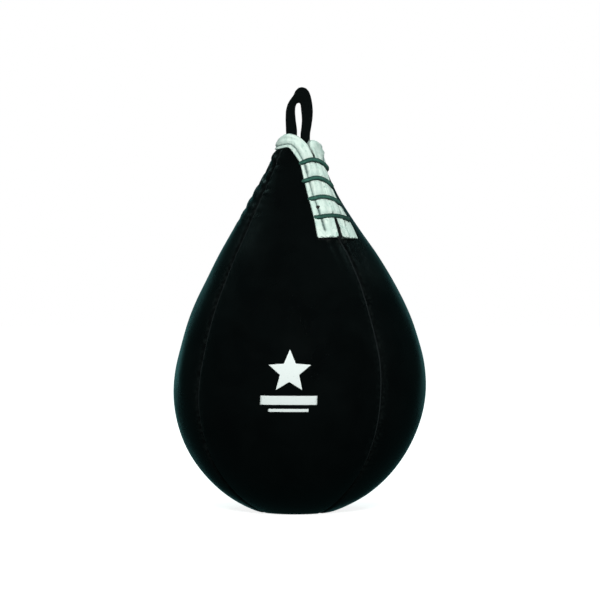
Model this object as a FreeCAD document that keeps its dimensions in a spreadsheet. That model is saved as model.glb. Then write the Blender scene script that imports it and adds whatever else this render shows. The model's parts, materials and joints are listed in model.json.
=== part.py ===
import FreeCAD, Part

import math
import os
import re

import Sketcher

# A laced leather punching ball: four pear-shaped gores round an inflated bladder,
# a white leather placket laced over the slit in one seam, and a webbing loop in the neck.
# Millimetres, +Z up, origin in the middle of the flat base that the ball stands on.

DIMENSIONS = {
    # outer profile of the leather, from the base up: arc radii and the slopes where they join
    "belly_radius": 90,
    "belly_height": 88.5,
    "lower_arc": 94.2,
    "upper_arc": 100,
    "belly_slope": 15.2,
    "shoulder_arc": 252,
    "shoulder_slope": 33.8,
    "throat_arc": 441.5,
    "throat_slope": 24.75,
    "neck_arc": 43.8,
    # the leather skin, how far its seams turn in, and the turn of the laced seam from +X
    "skin_thickness": 1.8,
    "seam_gap": 0.6,
    "flange_thickness": 1.6,
    "flange_start": 1,
    "seam_depth": 6,
    "flange_radius": 10,
    "flange_top": 240,
    "rim_gap": 0.1,
    "bag_turn": -51.5,
    # the welt strips that fill the seams
    "welt_gap": 0.1,
    "welt_recess": 0.6,
    # the cloth lining
    "lining_start": 2,
    "lining_end": 2.8,
    "lining_seam": 2.4,
    # the slit and its tongue
    "slit_bottom": 198,
    "slit_half": 1.5,
    "tongue_start": 6.1,
    "tongue_end": 7.5,
    "tongue_half": 9,
    "tongue_bottom": 184,
    "tongue_top": 243,
    # the placket: collar round the neck and two facings beside the slit
    "placket_gap": 0.1,
    "placket_thickness": 1.6,
    "collar_bottom": 258.4,
    "collar_inner": 11.85,
    "collar_outer": 16.25,
    "collar_rise": 1.8,
    "facing_bottom": 196,
    "facing_half_bottom": 17.4,
    "facing_corner": 248,
    "facing_half_corner": 11.8,
    "sweep_height": 254.6,
    "sweep_half": 14.4,
    "sweep_end_half": 17.2,
    "parting_half": 0.35,
    "parting_bottom_half": 1.4,
    "parting_closed_height": 215,
    "notch_height": 252,
    "notch_top": 272,
    "notch_half": 5,
    # the lace and the holes that it runs through
    "lace_radius": 1.3,
    "lace_gap": 0.15,
    "lace_bend": 2.6,
    "lace_arch": 2.6,
    "row_height": 247.2,
    "row_spacing": 13,
    "row_fall": 3.8,
    "fall_step": 0.7,
    "hole_beside_facing": 2.3,
    "hole_radius": 1.7,
    "lining_hole_radius": 2.5,
    "knot_radius": 2.6,
    # stitches in the placket
    "stitch_radius": 0.35,
    "stitch_length": 2.2,
    "stitch_pitch": 3.2,
    "stitch_inset": 4,
    "stitch_rise": 0.2,
    "collar_stitch_height": 262.8,
    "collar_stitch_start": 66,
    # the hanging loop, its hinge line in the neck and its tails
    "loop_half": 9.4,
    "loop_eye_half": 2.8,
    "loop_thickness": 5.5,
    "loop_crown": 10.6,
    "loop_top": 302.4,
    "loop_rounding": 1.2,
    "hinge_height": 268.5,
    "hinge_gap": 0.35,
    "tail_bottom": 241,
    "tail_fold": 4.2,
    "tail_fold_top": 252,
    "tail_stitch_first": 243.5,
    "tail_stitch_step": 3,
    "tail_stitch_proud": 0.4,
    # the washer that the loop is threaded through
    "washer_radius": 12.4,
    "washer_bottom": 256,
    "washer_thickness": 3,
    "washer_gap": 0.25,
    # the leather patch over the point where the four gores meet
    "patch_radius": 9.2,
    "patch_bottom": 2.1,
    "patch_thickness": 2,
    # the rubber bladder and its valve
    "bladder_start": 6.4,
    "bladder_end": 7.6,
    "dome_slope": 28,
    "valve_hole": 3.2,
    "valve_stem": 2.9,
    "valve_flange": 7,
    "valve_flange_thickness": 1.6,
    "valve_height": 9,
    "valve_boss": 4.4,
    "valve_inner_depth": 12,
    "valve_bore": 1.5,
    "core_radius": 1.3,
    "core_head": 2.2,
    "core_head_height": 1.5,
    "core_length": 12,
}

QUARTER_TURN = 90.0
HALF_TURN = 180.0
FULL_TURN = 360.0
TONGUE_SECTOR = 120.0
SIDES = ("right", "back", "left", "front")
SEAMS = ("laced", "rear_right", "rear_left", "front_left")
ROWS = 4
CUT_REACH = "70"
ROW_RUNS = 3
ARC_SHARE = 0.45
SHARP_HALF_TURN = math.radians(30)
STITCHES_PER_TAIL_ROW = 3

ORIGIN = (-1, 1)
HORIZONTAL_AXIS = -1
VERTICAL_AXIS = -2
SMALL = 1e-7

doc = FreeCAD.newDocument("PunchingBall")
sheet = doc.addObject("Spreadsheet::Sheet", "Dimensions")
for row, (alias, number) in enumerate(DIMENSIONS.items(), start=1):
    sheet.set(f"A{row}", alias)
    sheet.set(f"B{row}", str(number))
    sheet.setAlias(f"B{row}", alias)
doc.recompute()

parts = []


def on_sheet(formula):
    """Point every dimension named in a formula at its cell."""
    return re.sub(r"\b([a-z]+(?:_[a-z]+)+)\b", r"Dimensions.\1", formula)


def value(formula):
    """The number that a formula in dimension names comes to."""
    return float(sheet.evalExpression(on_sheet(formula)))


# ---------------------------------------------------------------- sketches and features


def new_body(label):
    body = doc.addObject("PartDesign::Body", label)
    body.Label = label
    parts.append(body)
    return body


def turn_with_bag(part, quarters=0):
    """Turn a part of the bag about its axis, so that the laced seam faces front right."""
    angle = value("bag_turn") + QUARTER_TURN * quarters
    axis = FreeCAD.Vector(0, 0, 1)
    part.Placement = FreeCAD.Placement(FreeCAD.Vector(), FreeCAD.Rotation(axis, angle))


def new_sketch(body, name, role, offset=None, turn=None):
    """A sketch on one of the body's own planes, moved along its normal or turned about Z."""
    sketch = body.newObject("Sketcher::SketchObject", f"{body.Label}_{name}")
    plane = next(item for item in body.Origin.OriginFeatures if item.Role == role)
    sketch.AttachmentSupport = [(plane, "")]
    sketch.MapMode = "FlatFace"
    if turn is not None:
        about_vertical = FreeCAD.Rotation(FreeCAD.Vector(0, 1, 0), turn)
        sketch.AttachmentOffset = FreeCAD.Placement(FreeCAD.Vector(), about_vertical)
    if offset is not None:
        sketch.setExpression("AttachmentOffset.Base.z", on_sheet(offset))
    return sketch


def bind(sketch, kind, references, formula):
    """Add a dimension to a sketch and bind it to the sheet."""
    index = sketch.addConstraint(Sketcher.Constraint(kind, *references, value(formula)))
    sketch.setExpression(f"Constraints[{index}]", on_sheet(formula))


def place(sketch, point, across, up):
    """Fix a sketch point by its distances from the sketch's origin."""
    for kind, axis, formula in (("DistanceX", VERTICAL_AXIS, across), ("DistanceY", HORIZONTAL_AXIS, up)):
        if abs(value(formula)) < SMALL:
            sketch.addConstraint(Sketcher.Constraint("PointOnObject", *point, axis))
        else:
            bind(sketch, kind, ORIGIN + point, formula)


def join(sketch, point_a, point_b):
    sketch.addConstraint(Sketcher.Constraint("Coincident", *point_a, *point_b))


def position(sketch, point):
    return sketch.getPoint(*point)


def line_between(sketch, point_a, point_b):
    """A line from one existing sketch point to another."""
    line = sketch.addGeometry(Part.LineSegment(position(sketch, point_a), position(sketch, point_b)), False)
    join(sketch, (line, 1), point_a)
    join(sketch, (line, 2), point_b)
    return line


def polygon(sketch, corners):
    """A closed outline through corners given as pairs of formulas."""
    points = [FreeCAD.Vector(value(across), value(up), 0) for across, up in corners]
    lines = []
    for index, point in enumerate(points):
        following = points[(index + 1) % len(points)]
        lines.append(sketch.addGeometry(Part.LineSegment(point, following), False))
    for index, line in enumerate(lines):
        join(sketch, (line, 2), (lines[(index + 1) % len(lines)], 1))
        place(sketch, (line, 1), *corners[index])


def circle(sketch, across, up, radius):
    centre = FreeCAD.Vector(value(across), value(up), 0)
    ring = sketch.addGeometry(Part.Circle(centre, FreeCAD.Vector(0, 0, 1), value(radius)), False)
    bind(sketch, "Radius", (ring,), radius)
    place(sketch, (ring, 3), across, up)


def revolve(body, sketch, angle=FULL_TURN, middle=False):
    feature = body.newObject("PartDesign::Revolution", f"{sketch.Name}_turned")
    feature.Profile = sketch
    feature.ReferenceAxis = (sketch, ["V_Axis"])
    feature.Angle = angle
    feature.Midplane = middle
    return feature


def pad(body, sketch, length, reverse=False, middle=False):
    feature = body.newObject("PartDesign::Pad", f"{sketch.Name}_pad")
    feature.Profile = sketch
    feature.setExpression("Length", on_sheet(length))
    feature.Reversed = reverse
    feature.Midplane = middle
    return feature


def pocket(body, sketch, length, reverse=False, middle=False):
    feature = body.newObject("PartDesign::Pocket", f"{sketch.Name}_cut")
    feature.Profile = sketch
    feature.setExpression("Length", on_sheet(length))
    feature.Reversed = reverse
    feature.Midplane = middle
    return feature


# ---------------------------------------------------------------- the pear-shaped profile

# Each stage of the profile is an arc: its radius, whether it bulges out, and where it ends.
BELLY = "belly_height"
UPPER_END = f"({BELLY} + upper_arc * sin(belly_slope))"
SHOULDER_END = f"({UPPER_END} + shoulder_arc * (sin(shoulder_slope) - sin(belly_slope)))"
THROAT_END = f"({SHOULDER_END} + throat_arc * (sin(shoulder_slope) - sin(throat_slope)))"
RIM = f"({THROAT_END} + neck_arc * sin(throat_slope))"
UPPER_RADIUS = "(belly_radius - upper_arc * (1 - cos(belly_slope)))"
SHOULDER_RADIUS = f"({UPPER_RADIUS} - shoulder_arc * (cos(belly_slope) - cos(shoulder_slope)))"
THROAT_RADIUS = f"({SHOULDER_RADIUS} - throat_arc * (cos(throat_slope) - cos(shoulder_slope)))"
RIM_RADIUS = f"({THROAT_RADIUS} - neck_arc * (1 - cos(throat_slope)))"
LEATHER_TOP = f"({RIM} - rim_gap)"


class Stage:
    """One arc of the profile, known for the leather's outside and for any depth below it."""

    def __init__(self, arc, bulges, end_radius, end_height, end_slope):
        side = "-" if bulges else "+"
        self.arc = arc
        self.bulges = bulges
        self.end_height = end_height
        self.end_slope = end_slope
        self.centre_across = f"({end_radius} {side} {arc} * cos({end_slope}))"
        self.centre_up = f"({end_height} {side} {arc} * sin({end_slope}))"

    def radius_at(self, depth):
        side = "-" if self.bulges else "+"
        return f"({self.arc} {side} {depth})"

    def end_at(self, depth):
        return f"({self.end_height} - {depth} * sin({self.end_slope}))"

    def across(self, depth, height):
        """The distance from the axis at a height, as a number."""
        rise = height - value(self.centre_up)
        reach = math.sqrt(value(self.radius_at(depth)) ** 2 - rise ** 2)
        return value(self.centre_across) + (reach if self.bulges else -reach)

    def add_arc(self, sketch, depth, low, high):
        """Draw the arc between two heights; returns its lower and upper end points."""
        centre = FreeCAD.Vector(value(self.centre_across), value(self.centre_up), 0)
        low_angle = math.atan2(low - centre.y, self.across(depth, low) - centre.x)
        high_angle = math.atan2(high - centre.y, self.across(depth, high) - centre.x)
        first, last = (low_angle, high_angle) if self.bulges else (high_angle, low_angle)
        ring = Part.Circle(centre, FreeCAD.Vector(0, 0, 1), value(self.radius_at(depth)))
        arc = sketch.addGeometry(Part.ArcOfCircle(ring, first, last), False)
        bind(sketch, "Radius", (arc,), self.radius_at(depth))
        return ((arc, 1), (arc, 2)) if self.bulges else ((arc, 2), (arc, 1))


STAGES = (
    Stage("lower_arc", True, "belly_radius", BELLY, "0"),
    Stage("upper_arc", True, UPPER_RADIUS, UPPER_END, "belly_slope"),
    Stage("shoulder_arc", True, SHOULDER_RADIUS, SHOULDER_END, "shoulder_slope"),
    Stage("throat_arc", False, THROAT_RADIUS, THROAT_END, "throat_slope"),
    Stage("neck_arc", False, RIM_RADIUS, RIM, "0"),
)


def profile_radius(depth, height):
    """The distance from the axis to the surface at a depth below the leather's outside."""
    for stage in STAGES:
        if height <= value(stage.end_at(depth)) + SMALL:
            return stage.across(depth, height)
    raise ValueError(f"the profile does not reach the height {height}")


def chain(sketch, depth, low, high):
    """Tangent arcs along the profile from one height to another; returns the two end points."""
    low_height = value(low)
    high_height = value(high)
    start = None
    end = None
    for stage in STAGES:
        stage_end = value(stage.end_at(depth))
        if stage_end <= low_height + SMALL or (end and low_height >= high_height - SMALL):
            continue
        last = stage_end >= high_height - SMALL
        top = high if last else stage.end_at(depth)
        bottom_point, top_point = stage.add_arc(sketch, depth, low_height, value(top))
        if start is None:
            start = bottom_point
            place(sketch, (bottom_point[0], 3), stage.centre_across, stage.centre_up)
            bind(sketch, "DistanceY", ORIGIN + bottom_point, low)
        else:
            sketch.addConstraint(Sketcher.Constraint("Tangent", *end, *bottom_point))
        bind(sketch, "DistanceY", ORIGIN + top_point, top)
        end = top_point
        low_height = value(top)
    return start, end


def base_step(sketch, outer_start, inner_start, radius):
    """Close a band at the base: in along the bottom, up at a radius, and out again."""
    outer = position(sketch, outer_start)
    inner = position(sketch, inner_start)
    low_corner = FreeCAD.Vector(value(radius), outer.y, 0)
    high_corner = FreeCAD.Vector(value(radius), inner.y, 0)
    bottom = sketch.addGeometry(Part.LineSegment(outer, low_corner), False)
    upright = sketch.addGeometry(Part.LineSegment(low_corner, high_corner), False)
    top = sketch.addGeometry(Part.LineSegment(high_corner, inner), False)
    join(sketch, (bottom, 1), outer_start)
    join(sketch, (bottom, 2), (upright, 1))
    join(sketch, (upright, 2), (top, 1))
    join(sketch, (top, 2), inner_start)
    sketch.addConstraint(Sketcher.Constraint("Horizontal", bottom))
    sketch.addConstraint(Sketcher.Constraint("Horizontal", top))
    sketch.addConstraint(Sketcher.Constraint("Vertical", upright))
    if value(radius) < SMALL:
        sketch.addConstraint(Sketcher.Constraint("PointOnObject", upright, 1, VERTICAL_AXIS))
    else:
        bind(sketch, "DistanceX", ORIGIN + (upright, 1), radius)


def band(sketch, outer, inner, high, low=None, radius=None):
    """A closed strip between two depths, from a height or from the base up to a height."""
    outer_start, outer_end = chain(sketch, outer, low or outer, high)
    inner_start, inner_end = chain(sketch, inner, low or inner, high)
    line_between(sketch, outer_end, inner_end)
    if low is None:
        base_step(sketch, outer_start, inner_start, radius)
    else:
        line_between(sketch, outer_start, inner_start)


# ---------------------------------------------------------------- leather, welts, lining

SLIT_WALLS = {"right": "near", "front": "far"}


# Each row of the lace starts at its own level on the left and ends a little lower on the right.
LEFT_LEVEL = "(row_height - row_spacing * {})"
RIGHT_LEVEL = "(row_height - row_spacing * {0} - row_fall + fall_step * {0})"


def row_levels(level=LEFT_LEVEL):
    return [value(level.format(row)) for row in range(ROWS)]


def facing_half(height):
    """Half the width of the two facings at a height, across the slit."""
    rise = (height - value("facing_bottom")) / (value("facing_corner") - value("facing_bottom"))
    return value("facing_half_bottom") + rise * (value("facing_half_corner") - value("facing_half_bottom"))


def hole_angle(height):
    """The angle of a lace hole from the slit, just outside the facing's edge."""
    radius = profile_radius("0", height)
    return math.degrees(math.asin((facing_half(height) + value("hole_beside_facing")) / radius))


def cut_lace_holes(body, side, radius):
    """Level holes, one for each row of the lace, beside the slit."""
    near = SLIT_WALLS[side] == "near"
    level = RIGHT_LEVEL if near else LEFT_LEVEL
    for number, height in enumerate(row_levels(level)):
        angle = hole_angle(height)
        sketch = new_sketch(body, f"hole_{number}", "YZ_Plane", turn=angle if near else QUARTER_TURN - angle)
        circle(sketch, "0", level.format(number), radius)
        pocket(body, sketch, CUT_REACH, reverse=True)


def trim_seams(body, gap):
    """Cut a gore back from the two seam planes that bound it."""
    sketch = new_sketch(body, "seams", "XY_Plane")
    reach = "2 * belly_radius"
    polygon(sketch, (
        (f"-{gap}", f"-{gap}"),
        (reach, f"-{gap}"),
        (reach, gap),
        (gap, gap),
        (gap, reach),
        (f"-{gap}", reach),
    ))
    pocket(body, sketch, "2 * loop_top", middle=True)


def cut_slit(body, wall, bottom, half):
    """Open the laced seam above a height, on the wall that this gore gives to the slit."""
    role = "XZ_Plane" if wall == "near" else "YZ_Plane"
    sketch = new_sketch(body, "slit", role)
    polygon(sketch, (("flange_radius", bottom), ("belly_radius", bottom), ("belly_radius", "loop_top"),
                     ("flange_radius", "loop_top")))
    pocket(body, sketch, half, reverse=wall == "far")


def add_flange(body, wall, top):
    """The edge of a gore, turned in along its seam."""
    near = wall == "near"
    sketch = new_sketch(body, f"flange_{wall}", "XZ_Plane" if near else "YZ_Plane",
                        offset="-seam_gap" if near else "seam_gap")
    band(sketch, "flange_start", "seam_depth", top, radius="flange_radius")
    pad(body, sketch, "flange_thickness", reverse=near)


def build_panel(side, quarters):
    body = new_body(f"panel_{side}")
    sketch = new_sketch(body, "skin", "XZ_Plane")
    band(sketch, "0", "skin_thickness", LEATHER_TOP, radius="seam_gap")
    revolve(body, sketch, QUARTER_TURN)
    trim_seams(body, "seam_gap")
    slit_wall = SLIT_WALLS.get(side)
    if slit_wall:
        cut_slit(body, slit_wall, "slit_bottom", "slit_half")
    for wall in ("near", "far"):
        add_flange(body, wall, "(slit_bottom - rim_gap)" if wall == slit_wall else "flange_top")
    if slit_wall:
        cut_lace_holes(body, side, "hole_radius")
    turn_with_bag(body, quarters)


def build_lining(side, quarters):
    body = new_body(f"lining_{side}")
    sketch = new_sketch(body, "cloth", "XZ_Plane")
    band(sketch, "lining_start", "lining_end", LEATHER_TOP, radius="flange_radius")
    revolve(body, sketch, QUARTER_TURN)
    trim_seams(body, "lining_seam")
    if side in SLIT_WALLS:
        cut_lace_holes(body, side, "lining_hole_radius")
    turn_with_bag(body, quarters)


def build_welt(seam, quarters):
    """The strip sewn between two gores: a shallow outer edge and a deeper body."""
    body = new_body(f"seam_welt_{seam}")
    thickness = "2 * (seam_gap - welt_gap)"
    laced = seam == "laced"
    edge = new_sketch(body, "edge", "XZ_Plane")
    band(edge, "welt_recess", "lining_start", "(slit_bottom - rim_gap)" if laced else LEATHER_TOP,
         radius="2 * seam_gap")
    pad(body, edge, thickness, middle=True)
    core = new_sketch(body, "core", "XZ_Plane")
    band(core, "flange_start", "seam_depth", "(slit_bottom - rim_gap)" if laced else "flange_top",
         radius="flange_radius")
    pad(body, core, thickness, middle=True)
    turn_with_bag(body, quarters)


def build_bottom_patch():
    body = new_body("bottom_patch")
    sketch = new_sketch(body, "disc", "XY_Plane", offset="patch_bottom")
    circle(sketch, "0", "0", "patch_radius")
    pad(body, sketch, "patch_thickness")
    turn_with_bag(body)


def build_tongue():
    """The flap behind the slit, which keeps the lace off the bladder."""
    body = new_body("tongue")
    sketch = new_sketch(body, "flap", "XZ_Plane")
    band(sketch, "tongue_start", "tongue_end", "tongue_top", low="tongue_bottom")
    revolve(body, sketch, TONGUE_SECTOR, middle=True)
    sides = new_sketch(body, "sides", "YZ_Plane")
    corners = (("tongue_half", "facing_bottom / 2"), ("belly_radius", "facing_bottom / 2"),
               ("belly_radius", "loop_top"), ("tongue_half", "loop_top"))
    polygon(sides, corners)
    polygon(sides, tuple((f"-{across}", up) for across, up in corners))
    pocket(body, sides, "2 * belly_radius", middle=True)
    turn_with_bag(body)


# ---------------------------------------------------------------- placket and lace


def build_placket():
    """A collar rolled over the rim of the neck, running on down both sides of the slit."""
    body = new_body("placket")
    outer = "(0 - placket_gap - placket_thickness)"
    inner = "(0 - placket_gap)"
    collar = new_sketch(body, "collar", "XZ_Plane")
    band(collar, outer, inner, RIM, low="collar_bottom")
    revolve(body, collar)
    roll = new_sketch(body, "roll", "XZ_Plane")
    rounded_top(roll, "collar_inner", "collar_outer", RIM, "collar_rise")
    revolve(body, roll)
    facing = new_sketch(body, "facing", "XZ_Plane")
    band(facing, outer, inner, f"({RIM} - collar_rise)", low="facing_bottom")
    revolve(body, facing, HALF_TURN, middle=True)
    edges = new_sketch(body, "edges", "YZ_Plane")
    corners = (
        ("facing_half_bottom", "facing_bottom - 1"),
        ("belly_radius", "facing_bottom - 1"),
        ("belly_radius", "collar_bottom"),
        ("sweep_end_half", "collar_bottom"),
        ("sweep_half", "sweep_height"),
        ("facing_half_corner", "facing_corner"),
    )
    polygon(edges, corners)
    polygon(edges, tuple((f"-{across}", up) for across, up in corners))
    pocket(body, edges, "belly_radius", reverse=True)
    parting = new_sketch(body, "parting", "YZ_Plane")
    side = (
        ("parting_bottom_half", "facing_bottom - 1"),
        ("parting_half", "parting_closed_height"),
        ("parting_half", "notch_height"),
        ("notch_half", "notch_top"),
    )
    polygon(parting, side + tuple((f"-{across}", up) for across, up in reversed(side)))
    pocket(body, parting, "belly_radius", reverse=True)
    turn_with_bag(body)


def rounded_top(sketch, inner, outer, foot, rise):
    """A flat-bottomed strip between two radii with an arc over its top."""
    left = FreeCAD.Vector(value(inner), value(foot), 0)
    right = FreeCAD.Vector(value(outer), value(foot), 0)
    crown = FreeCAD.Vector((left.x + right.x) / 2, left.y + value(rise), 0)
    foot_line = sketch.addGeometry(Part.LineSegment(left, right), False)
    arc = sketch.addGeometry(Part.Arc(right, crown, left), False)
    join(sketch, (foot_line, 2), (arc, 1))
    join(sketch, (foot_line, 1), (arc, 2))
    place(sketch, (foot_line, 1), inner, foot)
    place(sketch, (foot_line, 2), outer, foot)
    half = f"(({outer} - {inner}) / 2)"
    bind(sketch, "Radius", (arc,), f"({half} ^ 2 + {rise} ^ 2) / (2 * {rise})")


def polar(angle, radius, height):
    """A point of the bag in its own frame, where the slit is at angle 0."""
    turn = math.radians(angle)
    return FreeCAD.Vector(radius * math.cos(turn), radius * math.sin(turn), height)


def arc_points(first_angle, last_angle, heights, depth):
    """Route points round the neck whose runs just touch the surface at a depth."""
    step = (last_angle - first_angle) / (len(heights) - 1)
    stretch = 1 / math.cos(math.radians(step / 2))
    points = []
    for number, height in enumerate(heights):
        radius = profile_radius(depth, height) * stretch
        points.append(polar(first_angle + step * number, radius, height))
    return points


def lace_route():
    """Across each row outside, in through its hole, and slanting down inside to the next row."""
    outside = "(0 - placket_gap - placket_thickness - lace_gap - lace_radius)"
    inside = "(lining_end + lace_gap + lace_radius)"
    lefts = row_levels()
    rights = row_levels(RIGHT_LEVEL)
    arch = value("lace_arch")
    points = [knot_centres()[0]]
    for number, (left, right) in enumerate(zip(lefts, rights)):
        fall = (left - right) / ROW_RUNS
        heights = (left, left - fall + arch, right + fall + arch, right)
        points += arc_points(-hole_angle(left), hole_angle(right), heights, outside)
        if number + 1 < ROWS:
            following = lefts[number + 1]
            drop = (following - right) / ROW_RUNS
            heights = [right + drop * run for run in range(ROW_RUNS + 1)]
            points += arc_points(hole_angle(right), -hole_angle(following), heights, inside)
    points.append(knot_centres()[1])
    return points


def knot_centres():
    """The knots sit inside the first hole on the left and the last hole on the right."""
    depth = "(lining_end + lace_gap + knot_radius)"
    first = row_levels()[0]
    last = row_levels(RIGHT_LEVEL)[-1]
    return (polar(-hole_angle(first), profile_radius(depth, first), first),
            polar(hole_angle(last), profile_radius(depth, last), last))


def rounded_wire(points, sharp_radius):
    """Straight runs joined by tangent arcs, as large as the runs allow, smaller at the holes."""
    edges = []
    radii = []
    position_now = points[0]
    for before, corner, after in zip(points, points[1:], points[2:]):
        back = before - corner
        ahead = after - corner
        half_turn = (math.pi - back.getAngle(ahead)) / 2
        radius = ARC_SHARE * min(back.Length, ahead.Length) / math.tan(half_turn)
        if half_turn > SHARP_HALF_TURN:
            radius = min(radius, sharp_radius)
        radii.append(round(radius, 1))
        setback = radius * math.tan(half_turn)
        start = corner + back.normalize() * setback
        end = corner + ahead.normalize() * setback
        inward = (back + ahead).normalize()
        middle = corner + inward * (radius / math.cos(half_turn) - radius)
        edges.append(Part.LineSegment(position_now, start).toShape())
        edges.append(Part.Arc(start, middle, end).toShape())
        position_now = end
    edges.append(Part.LineSegment(position_now, points[-1]).toShape())
    print("lace bend radii", radii)
    return Part.Wire(edges)


def build_lace():
    route = lace_route()
    path = rounded_wire(route, value("lace_bend"))
    radius = value("lace_radius")
    section = Part.Wire(Part.Circle(route[0], route[1] - route[0], radius).toShape())
    feature = doc.addObject("Part::Feature", "lace")
    feature.Label = "lace"
    feature.Shape = path.makePipeShell([section], True, False)
    turn_with_bag(feature)
    parts.append(feature)
    expected = math.pi * radius ** 2 * path.Length
    print(f"lace length {path.Length:.1f} mm, volume ratio {feature.Shape.Volume / expected:.4f}")


def add_group(label, solids, with_bag=True):
    """Several separate solids that make one node."""
    feature = doc.addObject("Part::Feature", label)
    feature.Label = label
    feature.Shape = Part.makeCompound(solids)
    if with_bag:
        turn_with_bag(feature)
    parts.append(feature)


def build_lace_knots():
    radius = value("knot_radius")
    add_group("lace_knots", [Part.makeSphere(radius, centre) for centre in knot_centres()])


def rod(start, end, radius):
    return Part.makeCylinder(radius, (end - start).Length, start, end - start)


def under_lace(height, level):
    """Whether a row of the lace lies over a stitch at this height, on the side with these levels."""
    reach = value("(stitch_length + lace_arch) / 2 + lace_radius + stitch_radius")
    middles = [row + value("lace_arch") / 2 for row in row_levels(level)]
    return any(abs(height - middle) < reach for middle in middles)


def build_placket_stitching():
    """Short stitches down both facings and round the collar."""
    depth = "(0 - placket_gap - placket_thickness - stitch_rise)"
    radius = value("stitch_radius")
    half_length = value("stitch_length") / 2
    pitch = value("stitch_pitch")
    solids = []
    height = value("facing_bottom") + pitch
    while height < value("facing_corner") - pitch:
        for side, level in ((1, RIGHT_LEVEL), (-1, LEFT_LEVEL)):
            if under_lace(height, level):
                continue
            ends = []
            for end_height in (height - half_length, height + half_length):
                surface = profile_radius(depth, end_height)
                across = facing_half(end_height) - value("stitch_inset")
                ends.append(FreeCAD.Vector(math.sqrt(surface ** 2 - across ** 2), side * across, end_height))
            solids.append(rod(ends[0], ends[1], radius))
        height += pitch
    level = value("collar_stitch_height")
    surface = profile_radius(depth, level)
    step = math.degrees(pitch / surface)
    half_angle = math.degrees(half_length / surface)
    angle = value("collar_stitch_start")
    while angle <= FULL_TURN - value("collar_stitch_start"):
        start = polar(angle - half_angle, surface, level)
        solids.append(rod(start, polar(angle + half_angle, surface, level), radius))
        angle += step
    add_group("placket_stitching", solids)


# ---------------------------------------------------------------- hanging loop and washer


def arch(sketch, half, crown, foot):
    """An upright strip with a half-round top."""
    centre_up = f"({crown} - {half})"
    reach = value(half)
    foot_level = value(foot)
    centre = FreeCAD.Vector(0, value(centre_up), 0)
    corners = [FreeCAD.Vector(reach, centre.y, 0), FreeCAD.Vector(-reach, centre.y, 0)]
    feet = [FreeCAD.Vector(-reach, foot_level, 0), FreeCAD.Vector(reach, foot_level, 0)]
    top = sketch.addGeometry(
        Part.ArcOfCircle(Part.Circle(centre, FreeCAD.Vector(0, 0, 1), reach), 0, math.pi), False)
    left = sketch.addGeometry(Part.LineSegment(corners[1], feet[0]), False)
    base = sketch.addGeometry(Part.LineSegment(feet[0], feet[1]), False)
    right = sketch.addGeometry(Part.LineSegment(feet[1], corners[0]), False)
    for first, second in (((top, 2), (left, 1)), ((right, 2), (top, 1))):
        sketch.addConstraint(Sketcher.Constraint("Tangent", *first, *second))
    join(sketch, (left, 2), (base, 1))
    join(sketch, (base, 2), (right, 1))
    sketch.addConstraint(Sketcher.Constraint("Vertical", left))
    sketch.addConstraint(Sketcher.Constraint("Horizontal", base))
    bind(sketch, "Radius", (top,), half)
    place(sketch, (top, 3), "0", centre_up)
    bind(sketch, "DistanceY", ORIGIN + (base, 1), foot)


def build_hanging_loop():
    """The part of the loop above the hinge line, with rounded heels on that line."""
    body = new_body("hanging_loop")
    outline = new_sketch(body, "outline", "XZ_Plane")
    arch(outline, "loop_half", "loop_top", "hinge_height")
    strap = pad(body, outline, "loop_thickness", middle=True)
    doc.recompute()
    crown_edges = [f"Edge{number}" for number, edge in enumerate(strap.Shape.Edges, start=1)
                   if edge.BoundBox.ZMax > value("hinge_height") + value("loop_half")
                   and edge.BoundBox.YLength < SMALL]
    rounding = body.newObject("PartDesign::Fillet", "hanging_loop_rounding")
    rounding.Base = (strap, crown_edges)
    rounding.setExpression("Radius", on_sheet("loop_rounding"))
    heel = new_sketch(body, "heel", "YZ_Plane")
    circle(heel, "0", "hinge_height", "loop_thickness / 2")
    pad(body, heel, "2 * (loop_half - loop_rounding)", middle=True)
    eye = new_sketch(body, "eye", "XZ_Plane")
    arch(eye, "loop_eye_half", "(loop_top - loop_crown)", "(hinge_height - loop_thickness)")
    pocket(body, eye, "2 * loop_thickness", middle=True)


def build_loop_tail(side, start):
    """A leg of the loop below the hinge line, folded back at its end below the washer."""
    body = new_body(f"loop_tail_{side}")
    sketch = new_sketch(body, "section", "YZ_Plane", offset=start)
    face = "(loop_thickness / 2)"
    top = f"(hinge_height - {face} - hinge_gap)"
    polygon(sketch, (
        (f"-{face}", "tail_bottom"),
        (f"{face} + tail_fold", "tail_bottom"),
        (f"{face} + tail_fold", "tail_fold_top"),
        (face, "tail_fold_top"),
        (face, top),
        (f"-{face}", top),
    ))
    pad(body, sketch, "loop_half - loop_eye_half")


def build_tail_stitching():
    """Threads run through each folded tail end."""
    across = (value("loop_half") + value("loop_eye_half")) / 2
    spread = (value("loop_half") - value("loop_eye_half")) / 4
    face = value("loop_thickness") / 2
    proud = value("tail_stitch_proud")
    solids = []
    for side in (-1, 1):
        for shift in (-spread, spread):
            for number in range(STITCHES_PER_TAIL_ROW):
                height = value("tail_stitch_first") + value("tail_stitch_step") * number
                start = FreeCAD.Vector(side * across + shift, -face - proud, height)
                end = FreeCAD.Vector(start.x, face + value("tail_fold") + proud, height)
                solids.append(rod(start, end, value("stitch_radius")))
    add_group("tail_stitching", solids, with_bag=False)


def build_loop_washer():
    body = new_body("loop_washer")
    disc = new_sketch(body, "disc", "XY_Plane", offset="washer_bottom")
    circle(disc, "0", "0", "washer_radius")
    pad(body, disc, "washer_thickness")
    slots = new_sketch(body, "slots", "XY_Plane", offset="washer_bottom")
    near = "(loop_eye_half - washer_gap)"
    far = "(loop_half + washer_gap)"
    half = "(loop_thickness / 2 + washer_gap)"
    for side in ("", "-"):
        polygon(slots, ((f"{side}{near}", f"-{half}"), (f"{side}{far}", f"-{half}"), (f"{side}{far}", half),
                        (f"{side}{near}", half)))
    pocket(body, slots, "washer_thickness", reverse=True)


# ---------------------------------------------------------------- bladder and valve

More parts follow.
